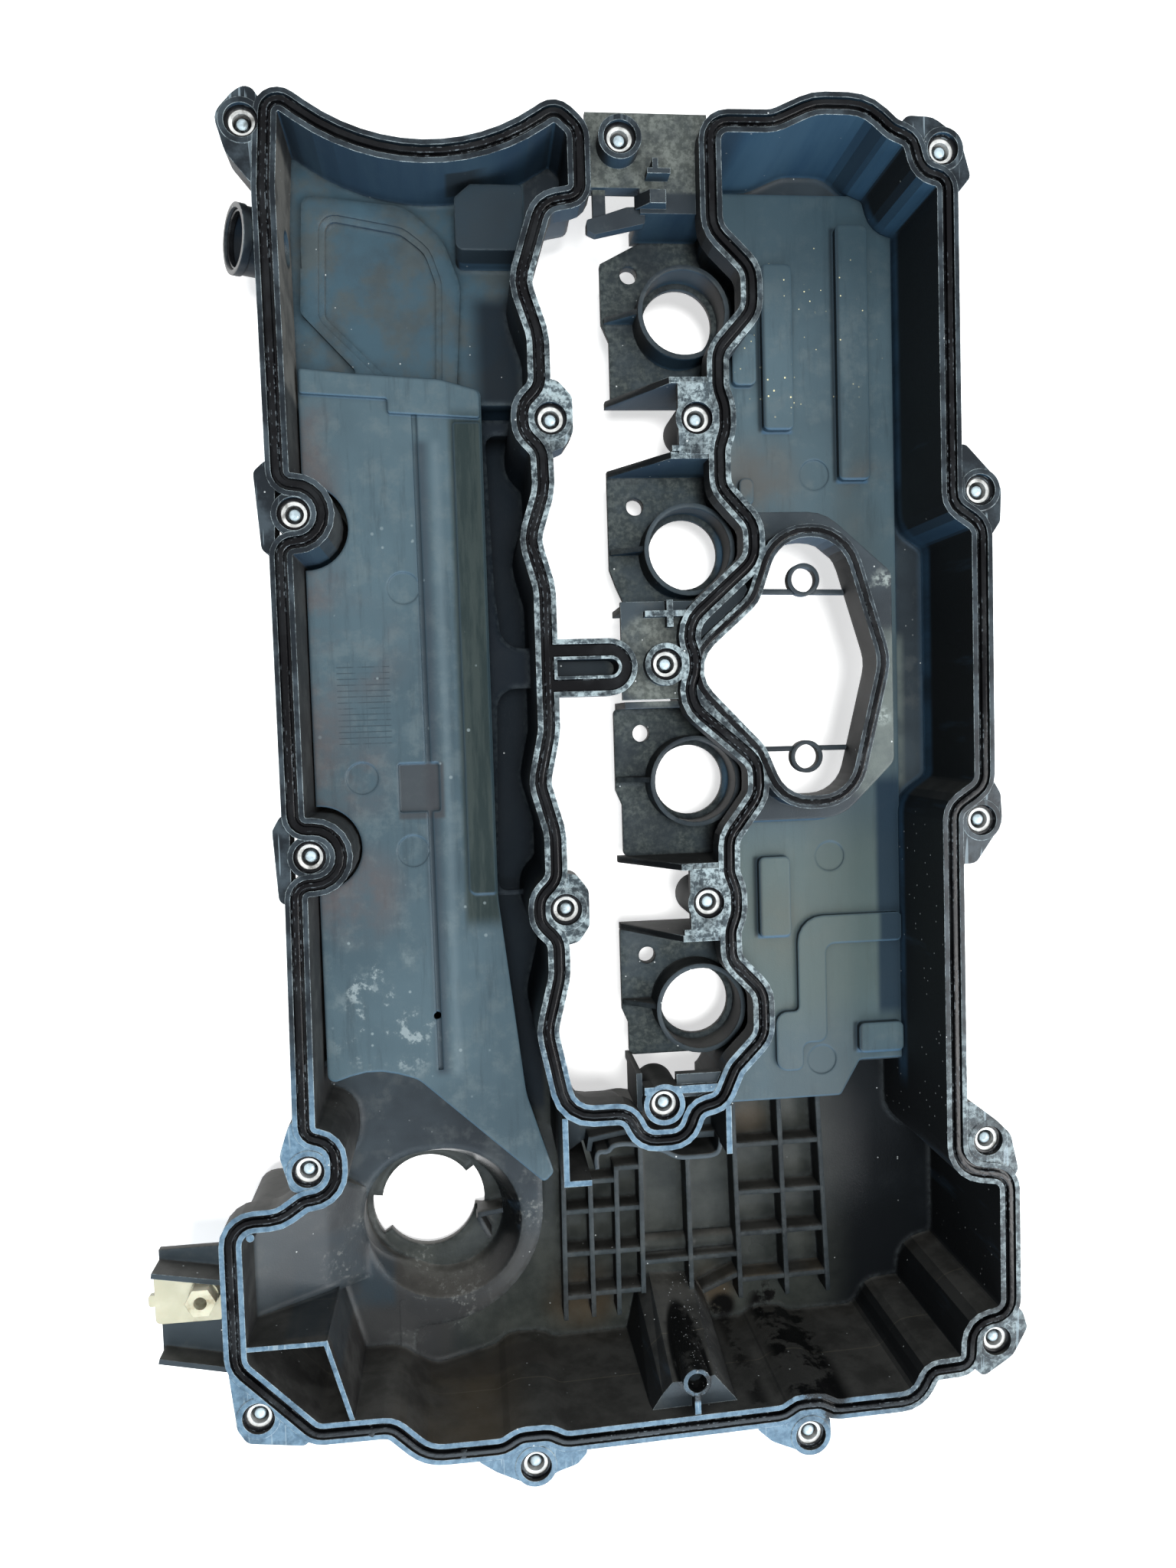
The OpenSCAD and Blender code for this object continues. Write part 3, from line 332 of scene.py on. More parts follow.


# Moulded nylon of the cover: blue-black, slate where dry, brown where oily, silvery on the worn lips, with
# light and shade also painted on by the way its faces turn
class ShellNylon(Finish):
    def __init__(self):
        super().__init__("shell_nylon")
        facing = self.geometry.outputs["Normal"]
        self.height = self.axis("Z")
        self.side = self.axis("X", facing)
        self.along = self.axis("Y", facing)
        self.up = self.axis("Z", facing)
        self.level = self.range(self.up, 0.6, 0.95)
        self.cloud = self.noise(9, 5, 0.6)
        self.mottle = self.noise(70, 6, 0.65)
        self.fine = self.noise(420, 5, 0.7)
        self.grain = self.noise(1500, 2, 0.5)
        self.streak = self.noise(60, 5, 0.6, (1.0, 1.0, 0.12))
        self.colour = self.blend(self.cloud, 0.35, 0.68, NYLON)
        self.lay(self.range(self.mottle, 0.52, 0.68, 0.0, 0.5), NYLON_GREY)

    # Pump-bay roof dry and slate; chamber roofs under a brownish oil film, darker to the right
    def roofs(self):
        bay = self.both(self.region(PUMP_BAY), self.range(self.up, 0.5, 0.9))
        slate = self.blend(self.streak, 0.40, 0.64, BAY_SLATE)
        self.lay(self.both(bay, self.range(self.mottle, 0.25, 0.6, 0.6, 1.0)), slate)
        film = self.blend(self.mottle, 0.3, 0.7, OIL_FILM)
        stained = self.both(self.spots(*ROOF_STAINS), self.range(self.cloud, 0.3, 0.6), 0.6)
        film = self.mix(stained, film, ROOF_AMBER)
        film = self.mix(self.region(SHADED_WIDTH), film, ROOF_SHADE)
        deep = self.range(self.height, below(55), below(64))
        self.lay(self.both(deep, self.range(self.cloud, 0.25, 0.5, 0.6, 1.0)), film)

    # Walls that face down the page get painted blue light, brightest to the right; those that face up it get
    # painted dim warm light, brown with amber stains and a pale seam
    def end_walls(self):
        lit = self.both(self.range(self.along, -0.3, -0.95, 0.0, 0.8), self.region(LIT_LENGTH))
        self.lay(lit, self.blend(self.streak, 0.35, 0.62, LIT_WALL))
        bright = self.blend(self.streak, 0.35, 0.62, BRIGHT_LIT_WALL)
        self.lay(self.both(lit, self.region(BRIGHT_WIDTH)), bright)
        lower = self.blend(self.mottle, 0.35, 0.62, DIM_WARM_LIT_WALL)
        stained = self.both(self.spots(*WALL_STAINS), self.range(self.cloud, 0.30, 0.55), 0.7)
        lower = self.mix(stained, lower, WALL_AMBER)
        self.lay(self.range(self.along, 0.35, 0.9, 0.0, 0.85), lower)
        seam = self.both(self.region(WALL_SEAM), self.range(self.along, 0.3, 0.6))
        self.lay(self.both(seam, self.range(self.cloud, 0.35, 0.5, 0.2, 0.6)), PALE_SEAM_LINE)

    # Brown film on the filler's lower half, black breather stub
    def filler_and_stub(self):
        film = self.both(self.region(FILLER_FOOT), self.range(self.cloud, 0.3, 0.6, 0.35, 0.75))
        self.lay(film, FILLER_FILM)
        self.lay(self.region(BREATHER_STUB), STUB_BLACK, share=0.85)

    # Walls that face left get painted shade, with a painted blue highlight along their foot on the right-hand
    # side.
    # Walls that face right get painted warm light, brown, and palest in the pump bay.
    def side_walls(self):
        shaded = self.blend(self.streak, 0.60, 0.74, SHADED_WALL)
        self.lay(self.range(self.side, -0.35, -0.9, 0.0, 0.95), shaded)
        warm_lit = self.blend(self.mottle, 0.42, 0.62, WARM_LIT_WALL)
        self.lay(self.range(self.side, 0.4, 0.95, 0.0, 0.75), warm_lit)
        bay_wall = self.both(self.region(BAY_LEFT_WALL), self.range(self.side, 0.4, 0.95))
        self.lay(self.both(bay_wall, self.range(self.mottle, 0.35, 0.6, 0.4, 0.9)), BAY_WALL_LIT)
        foot = self.both(self.region(RIGHT_WALL_FOOT), self.range(self.side, 0.0, -0.4))
        self.lay(self.both(foot, self.range(self.streak, 0.30, 0.60, 0.3, 0.9)), FOOT_BLUE_HIGHLIGHT)

    # Painted shade in the deep channel beside the separator, at the end of the bay and on the box above it
    def hollows(self):
        channel = self.either(self.region(DEEP_CHANNEL), self.region(BAY_END))
        self.lay(channel, CHANNEL_SHADE, share=0.9)
        self.lay(self.region(BAY_BOX), BOX_SHADE, share=0.9)

    # Pale, greenish flat behind the motor opening, worn to silver at two places
    def motor_flat(self):
        flat = self.both(self.region(MOTOR_FLAT), self.level)
        self.lay(self.both(flat, self.range(self.mottle, 0.30, 0.6, 0.35, 0.85)), FLAT_GREEN)
        worn = self.both(self.spots(*WORN_PLACES), self.region(WORN_HEIGHT))
        patchy = self.both(self.range(self.mottle, 0.50, 0.62), self.range(self.fine, 0.42, 0.58))
        self.lay(self.both(worn, patchy), WORN_SILVER, share=0.8)

    # Scuffed, olive-grey plates of the valley, palest at its end and beside the oil port
    def valley_plates(self):
        plates = self.both(self.region(VALLEY_PLATES), self.level)
        scuffed = self.blend(self.fine, 0.40, 0.66, SCUFFED_PLATE)
        self.lay(self.both(plates, self.range(self.mottle, 0.36, 0.60, 0.25, 0.85)), scuffed)
        pale = self.either(self.region(VALLEY_END), self.spots(PORT_PLATE))
        pale = self.both(pale, self.region(SHELF_HEIGHT), self.level)
        olive = self.blend(self.fine, 0.40, 0.62, OLIVE_PLATE)
        self.lay(self.both(pale, self.range(self.mottle, 0.30, 0.58, 0.35, 0.95)), olive)

    # Shaded walls of the lower left corner, white dust round the filler
    def corner_and_dust(self):
        corner = self.both(self.region(LEFT_CORNER), self.range(self.streak, 0.30, 0.62, 0.35, 0.85))
        self.lay(corner, CORNER_SHADE)
        patchy = self.both(self.range(self.fine, 0.52, 0.66), self.range(self.mottle, 0.48, 0.62))
        self.lay(self.both(self.spots(*FILLER_DUST), patchy), WHITE_DUST, share=0.45)

    # Worn faces at the gasket plane, most in the valley and along the lower side; scratched ears
    def lips(self):
        lip = self.blend(self.mottle, 0.40, 0.65, LIP)
        silver = self.blend(self.fine, 0.42, 0.60, LIP_SILVER)
        blue = self.blend(self.fine, 0.3, 0.7, LIP_BLUE)
        valley = self.both(self.region(VALLEY_LIPS), self.range(self.mottle, 0.36, 0.60, 0.15, 0.70))
        right = self.both(self.region(RIGHT_LIPS), self.range(self.mottle, 0.40, 0.62, 0.12, 0.50))
        lower = self.both(self.region(LOWER_LIPS), self.range(self.mottle, 0.30, 0.50, 0.50, 0.95))
        lip = self.mix(valley, lip, silver)
        lip = self.mix(right, lip, silver)
        lip = self.mix(lower, lip, blue)
        ear = self.range(self.height, below(0.2), below(0.5))
        marks = self.either(*[self.scratches(*lines) for lines in EAR_SCRATCHES])
        lip = self.mix(self.both(ear, marks, 0.45), lip, EAR_SCRATCH)
        top = self.range(self.height, below(1.4), below(0.8))
        self.lay(self.both(top, self.range(self.up, 0.7, 0.95)), lip)

    # Bare, bright edges near the gasket face
    def bare_edges(self):
        radius = self.range(self.height, below(30), below(10), 4.4 * MM, 0.5 * MM, smooth=False)
        self.normal, self.edge = self.edges(radius)
        near_face = self.range(self.height, below(10), below(2), 0.06, 1.0)
        rub = self.both(self.range(self.edge, 0.05, 0.22), near_face)
        rub = self.both(rub, self.range(self.fine, 0.40, 0.56, 0.15, 0.95))
        rub = self.both(rub, self.range(self.mottle, 0.34, 0.54, 0.40, 1.0))
        upper = self.range(self.axis("Z", self.normal), -0.2, 0.3)
        self.lay(self.both(rub, upper), BARE_EDGE)

    # Painted blue highlights along the shoulders round the flat behind the motor opening and along the
    # right-hand walls
    def shoulder_highlights(self):
        rounding = self.range(self.edge, 0.02, 0.16)
        self.lay(self.both(self.region(MOTOR_SHOULDER), rounding), MOTOR_SHOULDER_HIGHLIGHT, share=0.8)
        self.lay(self.both(self.region(ROOF_SHOULDER), rounding), ROOF_SHOULDER_HIGHLIGHT, share=0.6)

    # Painted shade in the corners, oil with sparks on the tower and oil at the lower wall, dust all over
    def corner_shade_oil_and_dust(self):
        self.lay(self.range(self.openness(9), 0.25, 0.80, 0.6, 0.0), CORNER_OCCLUSION_SHADE)
        tower = self.both(self.spots(TOWER_OIL), self.range(self.mottle, 0.40, 0.50))
        tower = self.both(tower, self.region(TOWER_HEIGHT))
        foot = self.both(self.spots(TOWER_FOOT_OIL), self.range(self.mottle, 0.34, 0.46))
        wall = self.both(self.spots(*LOWER_WALL_OIL), self.range(self.mottle, 0.44, 0.54))
        self.oil = self.either(tower, foot, wall)
        self.lay(self.oil, OIL)
        sparks = self.either(self.specks(900, 0.22, 0.22), self.range(self.fine, 0.66, 0.70))
        self.lay(self.both(self.spots(TOWER_SPARKS), sparks), SPARK)
        self.lay(self.both(self.specks(330, 0.13, 0.09), self.range(self.cloud, 0.42, 0.56)), PALE_DUST)

    # Smoother where oily, duller on upright faces
    def roughness(self):
        rough = self.range(self.cloud, 0.3, 0.7, 0.26, 0.46)
        rough = self.math("SUBTRACT", rough, self.both(self.oil, 0.2))
        upright = self.range(self.math("ABSOLUTE", self.up), 0.5, 0.2)
        return self.math("ADD", rough, self.both(upright, 0.32))


def shell_nylon():
    f = ShellNylon()
    f.roofs()
    f.end_walls()
    f.filler_and_stub()
    f.side_walls()
    f.hollows()
    f.motor_flat()
    f.valley_plates()
    f.corner_and_dust()
    f.lips()
    f.bare_edges()
    f.shoulder_highlights()
    f.corner_shade_oil_and_dust()
    height = f.math("ADD", f.both(f.mottle, 0.6), f.both(f.grain, 0.4))
    return f.finished(f.roughness(), height, 0.25, 0.4, f.normal)


# Tones of the plates over the chambers; a pair is mixed by a texture
PLATE = rgb(0.040, 0.064, 0.078), rgb(0.058, 0.092, 0.110)
PLATE_PALE = rgb(0.082, 0.110, 0.120)
PLATE_BRUSHED = rgb(0.022, 0.034, 0.042)
PLATE_STREAK = rgb(0.040, 0.054, 0.057)
BLOOM_RED = rgb(0.082, 0.058, 0.052)
OLIVE_EDGE = rgb(0.012, 0.020, 0.019), rgb(0.026, 0.036, 0.033)
FOLD_SHADE = rgb(0.016, 0.020, 0.028)
FOLD_CREST_HIGHLIGHT = rgb(0.11, 0.15, 0.17)
POCKET_SHADE = rgb(0.034, 0.034, 0.036)
WARM_GLOW = rgb(0.080, 0.062, 0.046)
UPPER_BLUE = rgb(0.018, 0.034, 0.044)
LOWER_GREEN = rgb(0.066, 0.088, 0.078)
RIGHT_EDGE_SHADE = rgb(0.008, 0.018, 0.032)
PAD_SHADE = rgb(0.008, 0.012, 0.016)
PAD_LIGHT = rgb(0.045, 0.105, 0.180)
GRID_LINE = rgb(0.014, 0.020, 0.026)
SPLASH = rgb(0.24, 0.29, 0.30)
DOT = rgb(0.22, 0.27, 0.28)
WASH = rgb(0.13, 0.17, 0.18)
YELLOW_SPECK = rgb(0.60, 0.56, 0.34)
LEFT_FACE_SHADE = rgb(0.008, 0.012, 0.016)
LOWER_FACE_BLUE_LIGHT = rgb(0.050, 0.110, 0.180)
UPPER_FACE_SHADE = rgb(0.014, 0.020, 0.026)
PLATE_EDGE_HIGHLIGHT = rgb(0.075, 0.130, 0.170)
PLATE_OCCLUSION_SHADE = rgb(0.004, 0.006, 0.008)

# Regions and circles of the plates, in the drawing
BLOOM_EDGE = {"X": (-160, -138, 8), "Y": (-60, 105, 10)}
BLOOMS = [(-132, 10, 26, 22), (-132, -40, 20, 16), (-136, -86, 26, 20)]
OLIVE_BAND = {"X": (-92, -78, 1.5), "Y": (-100, 100, 4)}
FOLD = {"X": (-106, -101, 2.2), "Y": (-160, 90, 2), "Z": (-40, -20, 1)}
CREST = {"X": (-99, -96, 1.6), "Y": (-160, 90, 2), "Z": (-40, -20, 1)}
POCKET = {"X": (-117, -99, 0.8), "Y": (-57, -35, 0.8)}
WARM_PLACES = [(34, 76, 26, 20), (40, -110, 26, 20), (84, 70, 20, 14)]
RIGHT_PLATE_TOP = {"X": (0, 140, 1), "Y": (150, 230, 22)}
RIGHT_PLATE_LOW = {"X": (0, 140, 1), "Y": (-150, -70, 16)}
RIGHT_PLATE_EDGE = {"X": (83, 100, 1.5), "Y": (-150, -48, 4)}
GRID = {"X": (-139, -118.6, 0.3), "Y": (-28.4, 5.3, 0.3)}
GRID_ROW = 1.15
GRID_COLUMN = 3.4
SPLASHES = [(-128, -118, 6, 3), (-135, -124, 7, 3), (-116, -145, 12, 8), (-124, -140, 26, 18)]
DOTTED = {"X": (-145, -80, 8), "Y": (-170, 60, 20)}
WASHED = {"Y": (-165, -95, 10), "X": (-140, -98, 6)}
DENSE_SPECKS = (44, 112, 12, 6)
LOOSE_SPECKS = (54, 140, 44, 26)

# Raised pads of the right-hand plate: left, low, right and high edges
PADS = [
    (68.5, 76.4, 81.8, 180.0),
    (36.9, 97.0, 49.6, 163.9),
    (30.6, -114.0, 44.0, -79.8),
    (72.9, -165.7, 92.3, -152.9),
]


# Plates welded over the chambers: slate with oil stains
class PlateNylon(Finish):
    def __init__(self):
        super().__init__("baffle_nylon")
        self.cloud = self.noise(7, 5, 0.6)
        self.streak = self.noise(14, 4, 0.5, (1.0, 0.25, 1.0))
        self.mottle = self.noise(90, 6, 0.7)
        self.stains = self.noise(22, 5, 0.6)
        self.grain = self.noise(1500, 2, 0.5)
        self.brushed = self.noise(240, 5, 0.7, (1.0, 0.10, 1.0))
        self.colour = self.blend(self.cloud, 0.35, 0.65, PLATE)
        self.lay(self.range(self.mottle, 0.46, 0.66, 0.0, 0.55), PLATE_PALE)
        self.lay(self.range(self.brushed, 0.50, 0.72, 0.0, 0.40), PLATE_BRUSHED)
        self.lay(self.range(self.streak, 0.50, 0.72, 0.0, 0.6), PLATE_STREAK)

    # Brown-red bloom on the left and an olive band on the right of the separator.
    # A soft fold runs along its middle, drawn with painted shade and a painted highlight, with a shaded
    # pocket beside it.
    def separator(self):
        bloom = self.either(self.spots(*BLOOMS), self.region(BLOOM_EDGE))
        self.lay(self.both(bloom, self.range(self.stains, 0.38, 0.60)), BLOOM_RED, share=0.65)
        self.lay(self.region(OLIVE_BAND), self.blend(self.brushed, 0.4, 0.6, OLIVE_EDGE), share=0.92)
        self.lay(self.region(FOLD), FOLD_SHADE, share=0.6)
        self.lay(self.region(CREST), FOLD_CREST_HIGHLIGHT, share=0.35)
        self.lay(self.region(POCKET), POCKET_SHADE, share=0.7)

    # Right-hand plate: warm in the middle, bluer above, greener at the lower end, with painted shade along
    # its right edge
    def right_plate(self):
        warm = self.both(self.spots(*WARM_PLACES), self.range(self.stains, 0.40, 0.60))
        self.lay(warm, WARM_GLOW, share=0.5)
        self.lay(self.region(RIGHT_PLATE_TOP), UPPER_BLUE, share=0.65)
        self.lay(self.region(RIGHT_PLATE_LOW), LOWER_GREEN, share=0.6)
        self.lay(self.region(RIGHT_PLATE_EDGE), RIGHT_EDGE_SHADE, share=0.85)

    # Shade along the left edge of each raised pad, blue light along its lower end
    def pads(self):
        for left, low, right, high in PADS:
            shade = self.region({"X": (left - 1.6, left + 1.0, 0.9), "Y": (low, high, 1.0)})
            self.lay(shade, PAD_SHADE, share=0.75)
            light = self.region({"X": (left, right, 1.0), "Y": (low - 0.8, low + 0.8, 0.6)})
            self.lay(light, PAD_LIGHT, share=0.7)

    # Faint ruled grid, without any marks in it
    def ruled_grid(self):
        rows = self.math("PINGPONG", self.axis("Y"), GRID_ROW * MM)
        columns = self.math("PINGPONG", self.axis("X"), GRID_COLUMN * MM)
        rows = self.range(rows, 0.30 * MM, 0.10 * MM)
        columns = self.range(columns, 0.22 * MM, 0.08 * MM, 0.0, 0.5)
        lines = self.both(self.either(rows, columns), self.range(self.mottle, 0.35, 0.5))
        self.lay(self.both(self.region(GRID), lines), GRID_LINE, share=0.55)

    # Pale splashes and yellow specks
    def splashes(self):
        splash = self.both(self.spots(*SPLASHES), self.range(self.mottle, 0.54, 0.60))
        self.lay(splash, SPLASH, share=0.6)
        self.lay(self.both(self.region(DOTTED), self.specks(260, 0.22, 0.07)), DOT, share=0.5)
        self.lay(self.both(self.region(WASHED), self.range(self.mottle, 0.58, 0.68)), WASH, share=0.3)
        dense = self.both(self.spots(DENSE_SPECKS), self.specks(420, 0.20, 0.34))
        loose = self.both(self.spots(LOOSE_SPECKS), self.specks(420, 0.15, 0.22))
        self.lay(self.either(dense, loose), YELLOW_SPECK)

    # Upright faces take their tone from the way they face, as painted light: shade on faces to the left and
    # up the page, blue light on faces down it; painted highlights on the edges, painted shade in the corners
    def faces_and_edges(self):
        self.normal, edge = self.edges(1.6 * MM)
        side = self.axis("X", self.normal)
        along = self.axis("Y", self.normal)
        self.lay(self.range(side, -0.12, -0.6, 0.0, 0.85), LEFT_FACE_SHADE)
        self.lay(self.range(along, -0.12, -0.6, 0.0, 0.9), LOWER_FACE_BLUE_LIGHT)
        self.lay(self.range(along, 0.12, 0.6, 0.0, 0.6), UPPER_FACE_SHADE)
        self.lay(self.range(edge, 0.02, 0.2, 0.0, 0.42), PLATE_EDGE_HIGHLIGHT)
        self.lay(self.range(self.openness(6), 0.30, 0.85, 0.55, 0.0), PLATE_OCCLUSION_SHADE)


def plate_nylon():
    f = PlateNylon()
    f.separator()
    f.right_plate()
    f.pads()
    f.ruled_grid()
    f.splashes()
    f.faces_and_edges()
    height = f.math("ADD", f.mottle, f.both(f.grain, 0.5))
    return f.finished(f.range(f.cloud, 0.3, 0.7, 0.30, 0.44), height, 0.2, 0.4, f.normal)


# Oily black rubber with small glints along its edges
RUBBER = rgb(0.002, 0.002, 0.0025), rgb(0.008, 0.009, 0.010)
RUBBER_GLINT = rgb(0.16, 0.19, 0.21)


def seal_rubber():
    f = Finish("seal_rubber")
    wet = f.noise(60, 4, 0.6)
    fine = f.noise(500, 3, 0.5)
    normal, edge = f.edges(0.8 * MM)
    f.colour = f.blend(wet, 0.4, 0.7, RUBBER)
    patchy = f.both(f.range(fine, 0.50, 0.66), f.range(f.noise(40, 3, 0.5), 0.45, 0.55))
    f.lay(f.both(f.range(edge, 0.02, 0.14), patchy), RUBBER_GLINT)
    return f.finished(f.range(wet, 0.35, 0.7, 0.10, 0.30), fine, 0.2, 0.3, normal)


# Zinc plating with brown stains, darkened by oil down to a depth where one is given
ZINC_STAIN = rgb(0.05, 0.045, 0.035)
ZINC_OIL = rgb(0.012, 0.013, 0.014)
DULL_SHARE = 0.6


def zinc(name, tone, rough, metallic, oily_depth=None):
    f = Finish(name)
    cloud = f.noise(300, 4, 0.6)
    stain = f.noise(90, 5, 0.6)
    f.colour = f.blend(cloud, 0.35, 0.7, (rgb(*tone), rgb(*[c * DULL_SHARE for c in tone])))
    f.lay(f.range(stain, 0.56, 0.68, 0.0, 0.7), ZINC_STAIN)
    if oily_depth is not None:
        film = f.range(f.noise(700, 3, 0.5), 0.30, 0.55, 1.0, 0.7)
        f.lay(f.both(f.band("Z", -oily_depth, 0, 0.5), film), ZINC_OIL)
    f.shader.inputs["Metallic"].default_value = metallic
    normal = f.edges(0.4 * MM)[0]
    return f.finished(f.range(cloud, 0.3, 0.7, rough, rough + 0.18), cloud, 0.15, 0.2, normal)


# Cream plastic of the clip, with brown grime
CREAM = rgb(0.40, 0.39, 0.29), rgb(0.50, 0.49, 0.38)
CREAM_GRIME = rgb(0.20, 0.16, 0.09)


def cream_plastic():
    f = Finish("clip_plastic")
    cloud = f.noise(60, 4, 0.6)
    grime = f.noise(45, 5, 0.65)
    f.colour = f.blend(cloud, 0.35, 0.7, CREAM)
    f.lay(f.range(grime, 0.54, 0.66, 0.0, 0.75), CREAM_GRIME)
    f.shader.inputs["Subsurface Weight"].default_value = 0.1
    f.shader.inputs["Subsurface Scale"].default_value = 2 * MM
    normal = f.edges(0.5 * MM)[0]
    return f.finished(0.42, cloud, 0.1, 0.3, normal)


BOLT_ZINC = (0.34, 0.40, 0.43)
SLEEVE_ZINC = (0.82, 0.84, 0.82)
POINT_ZINC = (0.62, 0.76, 0.82)


def dress(names, material):
    for name in names:
        materials = frame["nodes"][name].data.materials
        materials.clear()
        materials.append(material)


def dress_cad_nodes(shell, rubber):
    dress(["cover_shell"], shell)
    dress(["separator_baffle", "cam_baffle"], plate_nylon())
    dress(["perimeter_gasket", "motor_opening_seal", "bolt_seals", "breather_seal"], rubber)
    dress(["wiring_clip"], cream_plastic())
    bolts = zinc("bolt_zinc", BOLT_ZINC, rough=0.24, metallic=0.8, oily_depth=9)
    dress(["cover_bolt_%02d" % i for i in BOLTS], bolts)
    sleeves = zinc("sleeve_zinc", SLEEVE_ZINC, rough=0.28, metallic=0.35)
    dress(["bolt_sleeve_%02d" % i for i in BOLTS], sleeves)


def add_piece(name, bm, material):
    mesh = bpy.data.meshes.new(name)
    bmesh.ops.recalc_face_normals(bm, faces=bm.faces)
    bm.to_mesh(mesh)
    bm.free()
    obj = bpy.data.objects.new(name, mesh)
    bpy.context.scene.collection.objects.link(obj)
    mesh.materials.append(material)
    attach(obj, "root")


# Block of a size in mm, turned about Z in degrees, with its middle at a place of the drawing
def add_block(bm, size, place, turn=0):
    block = bmesh.ops.create_cube(bm, size=1.0)["verts"]
    bmesh.ops.scale(bm, vec=[side * MM for side in size], verts=block)
    spin = Matrix.Rotation(math.radians(turn), 3, "Z")
    bmesh.ops.rotate(bm, cent=(0, 0, 0), matrix=spin, verts=block)
    bmesh.ops.translate(bm, vec=at(*place), verts=block)


# Smooth path along the corners given, which it rounds from midway to midway
def rounded(corners, steps):
    out = [Vector(corners[0])]
    for before, here, after in zip(corners, corners[1:], corners[2:]):
        start = (Vector(before) + Vector(here)) / 2
        end = (Vector(here) + Vector(after)) / 2
        for i in range(steps + 1):
            t = i / steps
            out.append(start * (1 - t) ** 2 + Vector(here) * 2 * t * (1 - t) + end * t ** 2)
    out.append(Vector(corners[-1]))
    return out


# Wavy wall round the lower end of the valley, from the roof of the chain case up to the shelf
WAVY_WALL = [
    (-44.4, -197.0), (-44.8, -193.3), (-44.0, -189.8), (-39.6, -190.4), (-38.2, -187.6),
    (-30.9, -187.4), (-23.0, -189.9), (-18.0, -190.8), (-12.5, -194.6), (-4.6, -194.7),
    (3.6, -194.6), (5.2, -191.0), (5.3, -187.6),
]
WAVY_WALL_STEPS = 5
WAVY_WALL_FOOT = -70.5
WAVY_WALL_TOP = -14.0
WAVY_WALL_THICKNESS = 2.0
WAVY_WALL_ROUNDING = 0.5
CLOSE = 0.01
SHARP = math.radians(60)


def make_wavy_wall(material):
    bm = bmesh.new()
    foot = [bm.verts.new(at(p.x, p.y, WAVY_WALL_FOOT)) for p in rounded(WAVY_WALL, WAVY_WALL_STEPS)]
    for one, two in zip(foot, foot[1:]):
        bm.edges.new((one, two))
    bmesh.ops.remove_doubles(bm, verts=bm.verts[:], dist=CLOSE * MM)
    raised = bmesh.ops.extrude_edge_only(bm, edges=bm.edges[:])["geom"]
    rise = (WAVY_WALL_TOP - WAVY_WALL_FOOT) * MM
    lifted = [v for v in raised if isinstance(v, bmesh.types.BMVert)]
    bmesh.ops.translate(bm, vec=(0, 0, rise), verts=lifted)
    bmesh.ops.recalc_face_normals(bm, faces=bm.faces[:])
    bm.normal_update()
    half = WAVY_WALL_THICKNESS / 2 * MM
    for corner in bm.verts:
        corner.co += corner.normal * half
    bmesh.ops.solidify(bm, geom=bm.faces[:], thickness=WAVY_WALL_THICKNESS * MM)
    bm.normal_update()
    top = at(0, 0, WAVY_WALL_TOP).z - CLOSE * MM
    upper = [e for e in bm.edges if min(v.co.z for v in e.verts) > top]
    rim = [e for e in upper if e.calc_face_angle(0) > SHARP]
    rounding = WAVY_WALL_ROUNDING * MM
    bmesh.ops.bevel(bm, geom=rim, offset=rounding, segments=2, profile=0.5, affect="EDGES", material=-1)
    add_piece("valley_end_wall", bm, material)


# Closed channel under the oil port
PORT_CHANNEL_AT = (-43.5, -0.5, -13.5)
PORT_CHANNEL_SIZE = (27, 13, 7)
PORT_CHANNEL_WALL = 1.6
PORT_CHANNEL_HOLLOW = 5.4


def make_port_channel(material):
    bm = bmesh.new()
    add_block(bm, PORT_CHANNEL_SIZE, PORT_CHANNEL_AT)
    top = max(bm.faces, key=lambda face: face.calc_center_median().z)
    wall = PORT_CHANNEL_WALL * MM
    bmesh.ops.inset_individual(bm, faces=[top], thickness=wall, depth=0.0, use_even_offset=True)
    bmesh.ops.translate(bm, vec=(0, 0, -PORT_CHANNEL_HOLLOW * MM), verts=top.verts)
    add_piece("oil_port_channel", bm, material)


# Rubber tabs that lead from the seal across the outer lip: place and turn
TABS = [(-134.5, -286.0, 62), (-100.5, -298.0, 84)]
TAB_SIZE = (3.6, 2.6, 1.6)
TAB_HEIGHT = -0.45
TAB_ROUNDING = 0.45


def make_gasket_tabs(material):
    bm = bmesh.new()
    for x, y, turn in TABS:
        add_block(bm, TAB_SIZE, (x, y, TAB_HEIGHT), turn)
    rounding = TAB_ROUNDING * MM
    edges = bm.edges[:]
    bmesh.ops.bevel(bm, geom=edges, offset=rounding, segments=2, profile=0.5, affect="EDGES", material=-1)
    add_piece("gasket_tabs", bm, material)


# Domed, bright end of each captive bolt
POINT_RADIUS = 2.05
POINT_SQUASH = 0.5


def make_bolt_points():
    bm = bmesh.new()
    for i in BOLTS:
        bolt = frame["nodes"]["cover_bolt_%02d" % i]
        corners = [bolt.matrix_world @ Vector(c) for c in bolt.bound_box]
        middle = sum(corners, Vector()) / len(corners)
        tip = max(c.z for c in corners)
        ball = bmesh.ops.create_uvsphere(bm, u_segments=20, v_segments=10, radius=POINT_RADIUS * MM)
        dome = ball["verts"]
        bmesh.ops.scale(bm, vec=(1, 1, POINT_SQUASH), verts=dome)
        bmesh.ops.translate(bm, vec=(middle.x, middle.y, tip), verts=dome)
    point = zinc("bolt_point_zinc", POINT_ZINC, rough=0.22, metallic=0.35)
    add_piece("bolt_points", bm, point)


PAPER = rgb(0.86, 0.86, 0.85)
PAPER_ROUGHNESS = 0.9
PAPER_GLOW = 0.60
FLOOR_SIZE = 3.0
FLOOR_DROP = 0.0005


